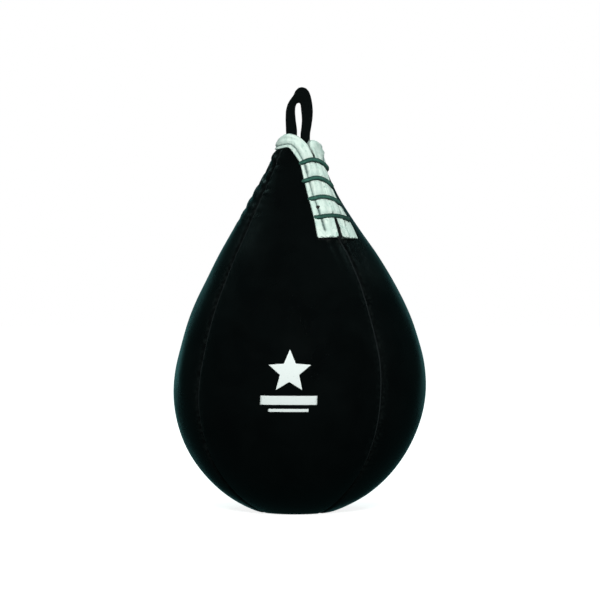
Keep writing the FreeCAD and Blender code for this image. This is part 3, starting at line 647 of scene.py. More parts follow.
def route_stretch(first, last, heights, out):
    """Control points round the neck; the curve through their midpoints keeps to the distance out."""
    step = (last - first) / (len(heights) - 1)
    stretch = 1 / math.cos(step / 2)
    points = []
    for number, height in enumerate(heights):
        point = skin_point(first + step * number, height, out)
        middle = np.interp(height, lean_heights, lean_shifts)
        points.append(np.array([middle + (point[0] - middle) * stretch, point[1] * stretch, point[2]]))
    return points


def lace_points():
    """Control points of the lace: across each row, in at its hole, and down inside to the next."""
    outside = PRESSED_SKIN + LACE_GAP + LACE_RADIUS
    inside = -(LINING_DEPTH + LACE_GAP + LACE_RADIUS)
    starts = [hole_angle(LEFT, row[0]) for row in LACE_ROWS]
    ends = [hole_angle(RIGHT, row[-1]) for row in LACE_ROWS]
    points = [skin_point(starts[0], LACE_ROWS[0][0], 2 * inside)]
    for number, row in enumerate(LACE_ROWS):
        points += route_stretch(starts[number], ends[number], row, outside)
        if number + 1 < len(LACE_ROWS):
            heights = np.linspace(row[-1], LACE_ROWS[number + 1][0], ROUTE_RUNS + 1)
            points += route_stretch(ends[number], starts[number + 1], heights, inside)
    points.append(skin_point(ends[-1], LACE_ROWS[-1][-1], 2 * inside))
    return points


def row_height(row, angle):
    """The height of a row of the lace at an angle, between its two holes."""
    left = hole_angle(LEFT, row[0])
    right = hole_angle(RIGHT, row[-1])
    share = np.clip((angle - left) / (right - left), 0, 1)
    return sum(count * height * share ** power * (1 - share) ** (3 - power)
               for power, (count, height) in enumerate(zip((1, 3, 3, 1), row)))


def smooth_path(points, step):
    """Even points along the smooth spline that has the given control points."""
    curve = bpy.data.curves.new("route", "CURVE")
    curve.dimensions = "3D"
    curve.resolution_u = ROUTE_FINENESS
    spline = curve.splines.new("NURBS")
    spline.points.add(len(points) - 1)
    for point, control in zip(points, spline.points):
        control.co = (*point, 1)
    spline.order_u = ROUTE_ORDER
    spline.use_endpoint_u = True
    holder = link_object("route", curve)
    bpy.context.view_layer.update()
    mesh = bpy.data.meshes.new_from_object(holder.evaluated_get(bpy.context.evaluated_depsgraph_get()))
    line = np.array([vertex.co for vertex in mesh.vertices])
    bpy.data.objects.remove(holder)
    bpy.data.curves.remove(curve)
    bpy.data.meshes.remove(mesh)
    length = distances(line)
    return along_path(line, length, np.linspace(0, length[-1], max(2, int(length[-1] / step))))


def along_path(line, length, places):
    """Points of a path at some distances along it."""
    return np.stack([np.interp(places, length, line[:, axis]) for axis in range(3)], axis=1)


LACE_HALF_WIDTH = 1.62 * MM
LACE_HALF_DEPTH = 1.30 * MM
LACE_SIDES = 28
BRAID_DEPTH = 0.07 * MM
BRAID_PITCH = 2.1 * MM
BRAID_STRANDS = 8
# Painted shade on the lace, darker as it turns round to the right of the front; the lowest row is also
# darker.
SIDE_SHADE = 0.35
SIDE_SHADE_ANGLES = (math.radians(30), math.radians(60))
FOOT_DARKENING = 0.3
FOOT_DARKENING_HEIGHTS = (210 * MM, 215 * MM)
UP = np.array([0.0, 0.0, 1.0])


def build_lace():
    """An oval braided cord; its two borders are marked so that painted shade can darken them."""
    line = smooth_path(lace_points(), ROUTE_STEP)
    tangents = directions(np.gradient(line, axis=0))
    up = directions(UP - tangents * tangents[:, 2:])
    side = np.cross(up, tangents)
    turns = full_turn(LACE_SIDES)
    winding = 2 * math.pi * distances(line)[:, None] / BRAID_PITCH
    plait = BRAID_STRANDS / 2 * turns
    braid = BRAID_DEPTH * np.sin(plait + winding) * np.sin(plait - winding)
    across = (LACE_HALF_WIDTH + braid) * np.sin(turns)
    deep = (LACE_HALF_DEPTH + braid) * np.cos(turns)
    rings = line[:, None] + side[:, None] * deep[..., None] + up[:, None] * across[..., None]
    # Painted shade as the lace turns round to the right, and darkening on the lowest row.
    darkening = SIDE_SHADE * smooth_step(np.arctan2(line[:, 0], -line[:, 1]), *SIDE_SHADE_ANGLES)
    darkening += FOOT_DARKENING * (1 - smooth_step(line[:, 2], *FOOT_DARKENING_HEIGHTS))
    # The borders get painted shade, and the darkening above adds to it.
    painted_shade = 1 - (1 - np.abs(np.sin(turns))) * (1 - darkening[:, None])
    lace = tube_object("lace_cord", rings, {"painted_shade": painted_shade})
    dress(lace, "bag", "lace_cord", "lace")


# The placket

SLIT_FOLD = 0.7 * MM
CLOSED_FOLD = 0.65 * MM
COLLAR_FOLD = 2.8 * MM
WIDEST_FOLD = 0.35
# The heights over which the facings become the collar, and over which the lace starts and stops
# pulling them together.
COLLAR_FADE = (251 * MM, 262 * MM)
CLOSED_FROM = (206 * MM, 214 * MM)
CLOSED_TO = (246 * MM, 252 * MM)
# How far in from the outer edge the stitching lies, as a share of the strip's width, by height.
STITCH_HEIGHTS = np.array((195, 206, 213, 222, 240)) * MM
LEFT_STITCH_SHARES = (0.41, 0.35, 0.305, 0.27, 0.25)
RIGHT_STITCH_SHARES = (0.52, 0.50, 0.36, 0.28, 0.25)
# The groove starts a little above the strip's foot.
GROOVE_FADE = (195.5 * MM, 199 * MM)
# Where the stitching groove gets darker painted shade: from a height to a height, and how dark.
LEFT_GROOVE = ((197, 216, 1.0), (238.5, 246, 0.95))
RIGHT_GROOVE = ((203.5, 208.5, 0.9),)
# Painted shade along the rest of the groove, on the left and on the right.
PLAIN_GROOVE = 0.45
PLAIN_RIGHT_GROOVE = 0.22
FACING_TOP = 252 * MM
GROOVE_HALF = 0.55 * MM
GROOVE_DEPTH = 0.8 * MM
# GROOVE_MARK is the half-width of the painted shade along the groove.
GROOVE_MARK = 0.95 * MM
FACING_PUFF = 1.1 * MM
COLLAR_PUFF = 0.7 * MM
PUFF_REACH = 3 * MM
CUT_EDGE = 1.35 * MM
CUT_ROUNDING = 0.6
CUT_FOOT = 0.7
CUT_SHADE = 0.6
SHADED_LIFT = 1.0 * MM
TURN_IN = 5 * MM
END_ROUNDING = 0.3 * MM
FOLD_BOTTOM = -4.1 * MM
INNER_PLY = 1.3 * MM
UNDERSIDE = 0.02 * MM
CUT_UNDERSIDE = 0.08 * MM
TOP_STEPS = 30
FOLD_STEPS = 12
TOP_LIFT = 0.5 * MM
PRESS_HALF = 2.1 * MM
PRESS_REACH = QUARTER / 1.6
# Where the painted shadow in the open slit fades out across the fold, as shares of the fold's half-width.
SLIT_SHADOW_SHARES = (0.5, 1.2)
# Creases of the white leather: depth, how far along and how far round they repeat, how far they
# turn over the strip's width, and which phase they start at.
STRIP_CREASES = (
    (0.14, 2.3, math.inf, 4, 0),
    (0.20, 16, math.inf, 17, 1),
    (0.16, 5.1, -4, 0, 2),
    (0.10, 1.3, 2.1, 0, 5),
)
CREASED_LIFT = (1.4 * MM, 2.4 * MM)
# The ragged ends of the strip: depth, turn over its width and phase of each wave.
RAGGED_WAVES = ((0.6, 31, 3), (0.36, 57, 4))
RAGGED_SHARE = 0.02
PHASE_COUNT = 8
strip_phases = np.random.default_rng(11).uniform(0, 2 * math.pi, PHASE_COUNT)


def stitch_share(height, row):
    """Where the stitching lies on a row of the strip."""
    left = np.interp(height, STITCH_HEIGHTS, LEFT_STITCH_SHARES)
    right = np.interp(height, STITCH_HEIGHTS, RIGHT_STITCH_SHARES)
    return np.where(row < STRIP_ROWS / 2, left, right)


def strip_section(width, fold_half, puff, inset, groove_depth):
    """Distance in from the fold and height off the leather, round the strip's section.

    It runs from the foot of the cut edge, over the top and the fold, to the turned-in end."""
    across = between(fold_half, width, np.linspace(1, 0, TOP_STEPS))
    from_edge = width - across
    lift = between(CUT_EDGE, PLACKET_SKIN, smooth_step(from_edge, 0, CUT_ROUNDING * inset))
    lift += puff * smooth_step(from_edge, inset, inset + PUFF_REACH)
    lift -= groove_depth * bell(from_edge, inset, GROOVE_HALF)
    lift[0] = CUT_FOOT * CUT_EDGE
    turns = np.linspace(math.pi / 2, 3 * math.pi / 2, FOLD_STEPS)[1:]
    middle = (lift[-1] + FOLD_BOTTOM) / 2
    fold = np.stack([fold_half + fold_half * np.cos(turns),
                     middle + (lift[-1] - middle) * np.sin(turns)], axis=1)
    end = fold_half + TURN_IN
    inside = np.array([[end, FOLD_BOTTOM], [end + END_ROUNDING, FOLD_BOTTOM + INNER_PLY / 2],
                       [end, FOLD_BOTTOM + INNER_PLY], [fold_half, FOLD_BOTTOM + INNER_PLY],
                       [fold_half, UNDERSIDE], [width - END_ROUNDING, UNDERSIDE], [width, CUT_UNDERSIDE]])
    return np.concatenate([np.stack([across, lift], axis=1), fold, inside])


def press_of_lace(angle, along, out):
    """How far the lace presses into the soft leather under its rows."""
    turned = wrapped(angle)
    near = [bell(height_at(along), row_height(row, turned), PRESS_HALF) for row in LACE_ROWS]
    press = np.max(near, axis=0) * (np.abs(turned) < PRESS_REACH)
    return press * np.clip(out - PRESSED_SKIN, 0, None)


def painted_groove_shade(row, height):
    """How dark the painted shade in the groove is on a row of the strip."""
    left = row < STRIP_ROWS / 2
    darkness = PLAIN_GROOVE if left or height > FACING_TOP else PLAIN_RIGHT_GROOVE
    for low, high, value in LEFT_GROOVE if left else RIGHT_GROOVE:
        inside = smooth_step(height, low * MM, (low + 1) * MM)
        inside *= 1 - smooth_step(height, (high - 1) * MM, high * MM)
        darkness = max(darkness, value * float(inside))
    return darkness * smooth_step(height, *GROOVE_FADE)


def strip_creases(share, along, angle):
    """Fine creases of the white leather."""
    around = angle * radius_at(along)
    total = 0
    for depth, length, girth, turn, phase in STRIP_CREASES:
        waves = along / (length * MM) + around / (girth * MM) + turn * share
        total = total + depth * MM * np.sin(waves + strip_phases[phase])
    return total


def ragged_end(share, row):
    """How far the strip's two ends stand out along the seam, to look torn."""
    end_share = min(row, STRIP_ROWS - 1 - row) / STRIP_ROWS
    ragged = 0
    for depth, turn, phase in RAGGED_WAVES:
        ragged = ragged + depth * MM * np.sin(turn * share + strip_phases[phase])
    return ragged * max(0, 1 - end_share / RAGGED_SHARE)


def strip_row(row):
    """One row of the strip: a ring of points, and how dark the painted shade in its groove and the painted
    shadow on its slit side are.
    """
    height = height_at(inner_along[row])
    collar = smooth_step(height, *COLLAR_FADE)
    closed = smooth_step(height, *CLOSED_FROM) * (1 - smooth_step(height, *CLOSED_TO))
    fold_half = between(between(SLIT_FOLD, CLOSED_FOLD, closed), COLLAR_FOLD, collar)
    width = strip_widths[row]
    inset = stitch_share(height, row) * width
    puff = between(FACING_PUFF, COLLAR_PUFF, collar)
    depth = GROOVE_DEPTH * smooth_step(height, *GROOVE_FADE)
    reach, lift = strip_section(width, min(fold_half, WIDEST_FOLD * width), puff, inset, depth).T
    share = reach / width
    angle = between(inner_angle[row], outer_angle[row], share)
    along = between(inner_along[row], outer_along[row], share)
    on_top = lift > TOP_LIFT
    out = lift + on_top * strip_creases(share, along, angle) * smooth_step(lift, *CREASED_LIFT)
    out -= on_top * press_of_lace(angle, along, out)
    # Painted shade in the stitching groove, and at the foot and underside of the cut edge.
    groove = bell(width - reach, inset, GROOVE_MARK) * on_top * painted_groove_shade(row, height)
    groove = np.clip(groove + CUT_SHADE * (lift < SHADED_LIFT), 0, 1)
    # Painted shadow on the slit side of the fold, where the slit stays open below the collar.
    first, last = SLIT_SHADOW_SHARES
    in_slit = 1 - smooth_step(reach, first * fold_half, last * fold_half)
    ring = surface(angle, along + ragged_end(share, row), out)
    return ring, groove, (1 - closed) * (1 - collar) * in_slit


def build_placket():
    """The white strip: collar and both facings in one closed tube."""
    rings, groove_shades, slit_shadows = (np.array(part) for part in zip(*map(strip_row, range(STRIP_ROWS))))
    placket = tube_object("placket_strip", rings, {"groove": groove_shades, "slit_shadow": slit_shadows}, flip=True)
    dress(placket, "bag", "leather_white", "placket")


# Thread

THREAD_SIDES = 8
STITCH_LENGTH = 2.3 * MM
STITCH_PITCH = 3.1 * MM
STITCH_RADIUS = 0.30 * MM
STITCH_LIFT = 0.12 * MM
STITCH_SINK = 0.75 * MM
STITCH_FLATNESS = 3
STITCH_RINGS = 9
STITCH_START = 4.5 * MM
KNOT_HEIGHT = 214.8 * MM
KNOT_LOOPS = 3.2
KNOT_STEPS = 60
KNOT_REACH = 1.0 * MM
KNOT_THREAD = 0.36 * MM
# How often the knot's thread crosses over and rises, for each turn that it makes.
KNOT_CROSSINGS = 0.7
KNOT_RISES = 1.9


def thread_rings(line, radius):
    """Round rings along a path."""
    tangents = directions(np.gradient(line, axis=0))
    side = np.cross(tangents[0], UP)
    sides = []
    for tangent in tangents:
        side = directions(side - tangent * np.dot(side, tangent))
        sides.append(side)
    across = directions(np.cross(tangents, sides))
    outward = np.cross(across, tangents)
    turns = full_turn(THREAD_SIDES)[:, None]
    return line[:, None] + radius * (np.cos(turns) * outward[:, None] + np.sin(turns) * across[:, None])


def join_objects(name, pieces):
    """One object from several, keeping their attributes."""
    bpy.ops.object.select_all(action="DESELECT")
    for piece in pieces:
        piece.select_set(True)
    bpy.context.view_layer.objects.active = pieces[0]
    bpy.ops.object.join()
    pieces[0].name = name
    pieces[0].data.name = name
    return pieces[0]


def groove_line(lift):
    """Points along the strip's stitching groove at a distance off the leather."""
    share = 1 - stitch_share(height_at(inner_along), np.arange(STRIP_ROWS))
    return surface(between(inner_angle, outer_angle, share), between(inner_along, outer_along, share), lift)


def build_thread_knot():
    """A small knot of thread in the left facing's groove."""
    line = groove_line(PLACKET_SKIN)[:STRIP_ROWS // 2]
    centre = line[np.argmin(np.abs(line[:, 2] - KNOT_HEIGHT))]
    outward = directions(centre * (1, 1, 0))
    across = np.cross(outward, UP)
    turns = np.linspace(0, 2 * math.pi * KNOT_LOOPS, KNOT_STEPS)[:, None]
    loops = centre + KNOT_REACH * (np.cos(turns) * UP + np.sin(KNOT_CROSSINGS * turns) * across)
    loops += STITCH_RADIUS * np.sin(KNOT_RISES * turns) * outward
    knot = tube_object("thread_knot", thread_rings(loops, KNOT_THREAD))
    dress(knot, "bag", "thread_black")


def build_placket_stitching():
    """Short threads that dip into the leather at both ends, along the strip's groove."""
    lift = PLACKET_SKIN - GROOVE_DEPTH + STITCH_LIFT
    line = groove_line(lift)
    sunk = groove_line(lift - STITCH_SINK)
    length = distances(line)
    steps = np.linspace(0, 1, STITCH_RINGS)
    dip = (np.abs(2 * steps - 1) ** STITCH_FLATNESS)[:, None]
    stitches = []
    start = STITCH_START
    while start + STITCH_LENGTH < length[-1] - STITCH_START:
        places = start + STITCH_LENGTH * steps
        middle = between(along_path(line, length, places), along_path(sunk, length, places), dip)
        stitches.append(tube_object("stitch", thread_rings(middle, STITCH_RADIUS)))
        start += STITCH_PITCH
    dress(join_objects("placket_thread", stitches), "bag", "thread_grey", "placket_stitching")


# The hanging loop

# The webbing's outer and inner edge, from the foot of the left leg over the crown to the foot of
# the right leg: across and height of each.
LOOP_EDGES = (
    (-8.2, 241, -2.2, 241), (-8.3, 252, -2.0, 252), (-8.4, 262, -1.5, 262), (-8.6, 272, -1.2, 272),
    (-8.9, 280, -2.3, 280), (-8.7, 286, -2.7, 285.5), (-7.5, 290.6, -2.5, 288.4), (-5.8, 293.6, -1.9, 290.6),
    (-3.4, 296.9, -1.0, 291.7), (-2.1, 300.0, 0.1, 292.0), (0.0, 302.2, 0.8, 291.9), (2.5, 302.8, 1.3, 291.4),
    (5.4, 302.0, 1.6, 290.7), (7.6, 299.4, 1.8, 289.6), (8.8, 295.8, 2.0, 288.2), (9.7, 291, 2.2, 286.3),
    (10.1, 285.6, 2.6, 283.2), (9.8, 280.5, 2.8, 279.6), (9.0, 275, 2.5, 274.8), (8.0, 269.5, 1.8, 269.5),
    (7.9, 262, 1.9, 262), (8.1, 252, 2.1, 252), (8.2, 241, 2.2, 241),
)
LOOP_RIBS = 9
LOOP_PICKS = 190
LOOP_SECTION = 80
LOOP_RINGS = 300
LOOP_HALF_DEPTH = 2.45 * MM
LOOP_SWELL = 0.35 * MM
RIB_DEPTH = 0.13 * MM
WEAVE_DEPTH = 0.10 * MM
# How square the webbing's section is: across, in depth, and how its ribs die out at its sides.
LOOP_POWERS = (0.6, 0.75, 0.5)
# The middle and width of the crown, as a share of half the loop, and how much thinner it is.
LOOP_CROWN = (0.02, 0.17)
CROWN_THINNING = 0.25 * MM
SLANT_WAVES = 14
SLANT_LEAN = 1.6
BACKWARD = np.array([0.0, 1.0, 0.0])


def signed_power(value, power):
    return np.sign(value) * np.abs(value) ** power


def build_loop():
    """Ribbed webbing: two legs and a folded crown, carried down through the washer."""
    outer_across, outer_up, inner_across, inner_up = (resampled(column, LOOP_RINGS) * MM
                                                      for column in zip(*LOOP_EDGES))
    level = np.zeros(LOOP_RINGS)
    outer = np.stack([outer_across, level, outer_up], axis=1)
    inner = np.stack([inner_across, level, inner_up], axis=1)
    reach = (outer - inner) / 2
    reach *= 1 + LOOP_SWELL / np.linalg.norm(reach, axis=1, keepdims=True)
    share = np.linspace(-1, 1, LOOP_RINGS)[:, None]
    crown = bell(share, *LOOP_CROWN)
    turns = full_turn(LOOP_SECTION)
    across_power, deep_power, rib_power = LOOP_POWERS
    across = signed_power(np.cos(turns), across_power)
    deep = signed_power(np.sin(turns), deep_power)
    ribs = RIB_DEPTH * np.cos(LOOP_RIBS * math.pi * across) * np.abs(np.sin(turns)) ** rib_power
    slant = WEAVE_DEPTH * np.sin(2 * math.pi * (SLANT_WAVES * share + SLANT_LEAN * across)) * crown
    depth = (LOOP_HALF_DEPTH - CROWN_THINNING * crown) * deep + (ribs + slant) * np.sign(deep)
    rings = (outer + inner)[:, None] / 2 + reach[:, None] * across[:, None] + BACKWARD * depth[..., None]
    grid = (LOOP_RINGS, LOOP_SECTION)
    attributes = {"across": np.broadcast_to(across, grid), "along": np.broadcast_to(share, grid)}
    loop = tube_object("webbing_loop", rings, attributes)
    set_material(loop, "webbing_black")
    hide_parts("hanging_loop", "loop_tail_left", "loop_tail_right")
    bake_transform(loop)


# Materials. The colours are linear.

COLOURS = {
    "black_deep": (0.0014, 0.0018, 0.0019),
    "black_soft": (0.0024, 0.0030, 0.0031),
    "black_worn": (0.020, 0.027, 0.026),
    "welt_dark": (0.008, 0.010, 0.011),
    "welt_light": (0.020, 0.024, 0.025),
    "white_clean": (0.79, 0.88, 0.82),
    "white_dull": (0.63, 0.77, 0.71),
    "white_grime": (0.30, 0.47, 0.41),
    # Painted shade in the groove and under the cut edge.
    "white_groove_shade": (0.022, 0.055, 0.050),
    # Painted shadow in the open slit.
    "slit_shadow_black": (0.003, 0.005, 0.005),
    "lace_dark": (0.034, 0.110, 0.086),
    "lace_light": (0.076, 0.215, 0.165),
    "lace_painted_shade": (0.006, 0.017, 0.016),
    # Painted shade on the lace's borders.
    "webbing_dark": (0.0015, 0.0020, 0.0020),
    "webbing_light": (0.0050, 0.0065, 0.0065),
    "webbing_fuzz": (0.020, 0.026, 0.026),
    "grey_light": (0.22, 0.32, 0.30),
    "grey_dark": (0.10, 0.16, 0.15),
    "thread_light": (0.03, 0.03, 0.03),
    "thread_dark": (0.008, 0.008, 0.008),
    "cloth_light": (0.62, 0.56, 0.46),
    "cloth_dark": (0.36, 0.32, 0.25),
    "bladder_dust": (0.12, 0.11, 0.10),
    "bladder_dark": (0.022, 0.021, 0.02),
    "valve_dust": (0.34, 0.07, 0.05),
    "valve_dark": (0.22, 0.03, 0.02),
    "hide_dark": (0.30, 0.16, 0.075),
    "hide_light": (0.46, 0.27, 0.14),
    "print_white": (0.86, 0.88, 0.88),
    "print_worn": (0.45, 0.47, 0.47),
    "floor_dark": (0.86, 0.86, 0.86),
    "floor_light": (0.90, 0.90, 0.90),
    "studio_white": (1.0, 1.0, 1.0),
    "studio_fill": (0.70, 1.0, 0.95),
    "studio_mirror": (0.32, 1.0, 1.0),
    "key_light": (0.96, 1.0, 0.97),
    "back_light": (0.6, 1.0, 0.97),
}


# Most values of a noise texture lie in this range.
NOISE_RANGE = (0.3, 0.7)


class Nodes:
    """A small helper that adds and links the nodes of a material or a world.

    Sockets take another node's output, a number, or the name of a colour."""

    def __init__(self, owner, coordinates="Object"):
        owner.use_nodes = True
        self.owner = owner
        self.tree = owner.node_tree
        self.place = self.add("ShaderNodeTexCoord", {}, coordinates)

    def put(self, socket, value):
        if isinstance(value, bpy.types.NodeSocket):
            self.tree.links.new(value, socket)
        elif isinstance(value, str):
            socket.default_value = (*COLOURS[value], 1.0)
        else:
            socket.default_value = value

    def add(self, kind, inputs, output=0, **settings):
        node = self.tree.nodes.new(kind)
        for key, value in settings.items():
            setattr(node, key, value)
        for key, value in inputs.items():
            self.put(node.inputs[key], value)
        return node.outputs[output]

    def noise(self, scale, detail=3, distortion=0, vector=None):
        inputs = {"Vector": vector or self.place, "Scale": scale, "Detail": detail, "Distortion": distortion}
        return self.add("ShaderNodeTexNoise", inputs)

    def cells(self, scale):
        inputs = {"Vector": self.place, "Scale": scale}
        return self.add("ShaderNodeTexVoronoi", inputs, feature="DISTANCE_TO_EDGE")

    def waves(self, scale, direction, distortion=0, detail=2):
        inputs = {"Vector": self.place, "Scale": scale, "Distortion": distortion, "Detail": detail}
        return self.add("ShaderNodeTexWave", inputs, output="Fac", bands_direction=direction)

    def math(self, operation, first, second=0):
        return self.add("ShaderNodeMath", {0: first, 1: second}, operation=operation)

    def times(self, first, second):
        return self.math("MULTIPLY", first, second)

    def spread(self, value, low, high, to_low=0, to_high=1):
        inputs = {"Value": value, "From Min": low, "From Max": high, "To Min": to_low, "To Max": to_high}
        return self.add("ShaderNodeMapRange", inputs)

    def from_noise(self, value, to_low=0, to_high=1):
        return self.spread(value, *NOISE_RANGE, to_low, to_high)

    def mix(self, share, first, second):
        node = self.tree.nodes.new("ShaderNodeMix")
        node.data_type = "RGBA"
        for key, value in (("Factor", share), ("A", first), ("B", second)):
            self.put(node.inputs[key], value)
        return node.outputs["Result"]

    def scaled(self, scale):
        return self.add("ShaderNodeMapping", {"Vector": self.place, "Scale": scale})

    def attribute(self, name):
        return self.add("ShaderNodeAttribute", {}, output="Fac", attribute_name=name)

    def bump(self, height, distance, strength, normal=None):
        inputs = {"Height": height, "Distance": distance * MM, "Strength": strength}
        if normal is not None:
            inputs["Normal"] = normal
        return self.add("ShaderNodeBump", inputs)

    def finish(self, shader="Principled BSDF", **values):
        for key, value in values.items():
            self.put(self.tree.nodes[shader].inputs[key.replace("_", " ")], value)
        return self.owner


MATERIALS = {}


def new_material(name):
    MATERIALS[name] = bpy.data.materials.new(name)
    return Nodes(MATERIALS[name])


def make_leather_black():
    kit = new_material("leather_black")
    smudges = kit.noise(38, detail=4, distortion=0.4)
    wear = kit.times(kit.attribute("edge"), kit.spread(kit.noise(420, detail=4), 0.45, 0.75))
    base = kit.mix(kit.spread(smudges, 0.35, 0.7), "black_deep", "black_soft")
    base = kit.mix(kit.times(wear, 0.25), base, "black_worn")
    rough = kit.math("ADD", kit.spread(smudges, 0.3, 0.75, 0.24, 0.34), kit.times(wear, 0.15))
    normal = kit.bump(kit.noise(150, detail=4, distortion=0.6), distance=0.18, strength=0.35)
    normal = kit.bump(kit.spread(kit.cells(1150), 0, 0.16), distance=0.03, strength=0.5, normal=normal)
    normal = kit.bump(kit.noise(2600, detail=2), distance=0.012, strength=0.4, normal=normal)
    return kit.finish(Base_Color=base, Roughness=rough, Normal=normal, Specular_IOR_Level=0.3)


def make_welt_black():
    kit = new_material("welt_black")
    base = kit.mix(kit.noise(220), "welt_dark", "welt_light")
    rough = kit.from_noise(kit.noise(300), 0.32, 0.5)
    normal = kit.bump(kit.cells(1600), distance=0.05, strength=0.6)
    return kit.finish(Base_Color=base, Roughness=rough, Normal=normal, Specular_IOR_Level=0.35)


def make_leather_white():
    kit = new_material("leather_white")
    soft = kit.noise(260, detail=4, distortion=0.5)
    blotch = kit.noise(110, detail=4, distortion=0.5)
    darkening = kit.noise(430, detail=5, distortion=0.8, vector=kit.scaled((1.0, 1.0, 0.45)))
    base = kit.mix(kit.spread(blotch, 0.38, 0.68), "white_clean", "white_dull")
    base = kit.mix(kit.spread(darkening, 0.52, 0.76, 0, 0.65), base, "white_grime")
    # Painted shade in the groove and under the cut edge.
    base = kit.mix(kit.times(kit.attribute("groove"), 0.95), base, "white_groove_shade")
    # Painted shadow in the open slit.
    base = kit.mix(kit.attribute("slit_shadow"), base, "slit_shadow_black")
    normal = kit.bump(soft, distance=0.4, strength=0.45)
    normal = kit.bump(kit.spread(kit.cells(900), 0, 0.2), distance=0.05, strength=0.6, normal=normal)
    return kit.finish(Base_Color=base, Roughness=kit.from_noise(soft, 0.42, 0.6), Normal=normal,
                      Specular_IOR_Level=0.35, Sheen_Weight=0.15, Sheen_Roughness=0.5)


def make_thread(name, light, dark):
    kit = new_material(name)
    twist = kit.waves(620, "DIAGONAL", distortion=1.5)
    return kit.finish(Base_Color=kit.mix(twist, dark, light), Roughness=kit.spread(twist, 0, 1, 0.5, 0.7),
                      Normal=kit.bump(twist, distance=0.12, strength=0.8), Sheen_Weight=0.2)


def make_lace_cord():
    kit = new_material("lace_cord")
    mottled = kit.noise(480, detail=4)
    base = kit.mix(kit.from_noise(mottled), "lace_dark", "lace_light")
    # Painted shade on the borders, also towards the right and on the lowest row.
    base = kit.mix(kit.times(kit.attribute("painted_shade"), 0.92), base, "lace_painted_shade")
    normal = kit.bump(kit.waves(900, "DIAGONAL", distortion=4), distance=0.12, strength=0.6)
    normal = kit.bump(kit.noise(2600, detail=2), distance=0.05, strength=0.5, normal=normal)
    return kit.finish(Base_Color=base, Roughness=kit.from_noise(mottled, 0.5, 0.68), Normal=normal,
                      Sheen_Weight=0.05, Sheen_Roughness=0.4, Specular_IOR_Level=0.3)


def make_webbing_black():
    kit = new_material("webbing_black")
    ribs = kit.math("COSINE", kit.times(kit.attribute("across"), LOOP_RIBS * math.pi))
    picks = kit.math("SINE", kit.times(kit.attribute("along"), LOOP_PICKS * math.pi))
    weave = kit.times(kit.spread(ribs, -1, 1, 0.3, 1), kit.spread(picks, -1, 1, 0.4, 1))
    fuzz = kit.noise(2400)
    base = kit.mix(weave, "webbing_dark", "webbing_light")
    base = kit.mix(kit.spread(fuzz, 0.6, 0.8, 0, 0.3), base, "webbing_fuzz")
    normal = kit.bump(weave, distance=0.18, strength=0.7)
    normal = kit.bump(fuzz, distance=0.06, strength=0.5, normal=normal)
    return kit.finish(Base_Color=base, Roughness=kit.spread(weave, 0, 1, 0.8, 0.55), Normal=normal,
                      Sheen_Weight=0.02, Sheen_Roughness=0.5, Specular_IOR_Level=0.25)


def make_cloth(name, light, dark, threads):
    kit = new_material(name)
    weave = kit.times(kit.waves(threads, "Z"), kit.waves(threads, "DIAGONAL"))
    base = kit.mix(kit.spread(kit.noise(60), 0.4, 0.8, 0, 0.4), kit.mix(weave, dark, light), dark)
    return kit.finish(Base_Color=base, Roughness=kit.spread(weave, 0, 1, 0.9, 0.75),
                      Normal=kit.bump(weave, distance=0.2, strength=0.7), Sheen_Weight=0.1)


def make_rubber(name, light, dark, grain):
    kit = new_material(name)
    dust = kit.noise(90, detail=5, distortion=0.6)
    base = kit.mix(kit.spread(dust, 0.4, 0.75, 0, 0.6), dark, light)
    normal = kit.bump(kit.noise(grain), distance=0.06, strength=0.5)
    return kit.finish(Base_Color=base, Roughness=kit.from_noise(dust, 0.5, 0.75), Normal=normal,
                      Specular_IOR_Level=0.3)


def make_leather_natural():
    kit = new_material("leather_natural")
    fibre = kit.noise(500, detail=5, distortion=0.8)
    base = kit.mix(kit.from_noise(fibre), "hide_dark", "hide_light")
    return kit.finish(Base_Color=base, Roughness=kit.from_noise(fibre, 0.55, 0.8),
                      Normal=kit.bump(fibre, distance=0.2, strength=0.5))


def make_print_white():
    kit = new_material("print_white")
    worn = kit.spread(kit.noise(900, detail=4), 0.62, 0.7, 0, 0.25)
    normal = kit.bump(kit.spread(kit.cells(420), 0, 0.03), distance=0.02, strength=0.3)
    return kit.finish(Base_Color=kit.mix(worn, "print_white", "print_worn"),
                      Roughness=kit.from_noise(kit.noise(160), 0.35, 0.5), Normal=normal)


def make_floor_material():
    kit = new_material("pale_floor")
    grain = kit.noise(60, detail=5)
    return kit.finish(Base_Color=kit.mix(grain, "floor_dark", "floor_light"),
                      Roughness=kit.from_noise(grain, 0.5, 0.6),
                      Normal=kit.bump(kit.noise(800), distance=0.1, strength=0.1), Specular_IOR_Level=0.2,
                      Emission_Color="studio_white", Emission_Strength=0.85)


def make_materials():
    make_leather_black()
    make_welt_black()
    make_leather_white()
    make_thread("thread_grey", "grey_light", "grey_dark")
    make_thread("thread_black", "thread_light", "thread_dark")
    make_lace_cord()
    make_webbing_black()
    make_cloth("lining_cloth", "cloth_light", "cloth_dark", threads=260)
    make_rubber("rubber_bladder", "bladder_dust", "bladder_dark", grain=500)
    make_rubber("rubber_valve", "valve_dust", "valve_dark", grain=900)
    make_leather_natural()
    make_print_white()


def set_material(piece, name):
    piece.data.materials.clear()
    piece.data.materials.append(MATERIALS[name])


def dress(piece, body, slot, *replaced, look=None):
    """Give a piece its look, which is its slot's own if none is named, and let it stand for CAD nodes."""
    set_material(piece, look or slot)
    if replaced:
        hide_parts(*replaced)
    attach(piece, body)


def finish_cad_nodes():
    """Materials for the CAD pieces that stay as they are."""
    slots = {entry["node"]: entry["material_slot"] for entry in frame["record"]["subparts"]}
    for node, piece in frame["nodes"].items():
        set_material(piece, slots[node])


# The printed star and bars

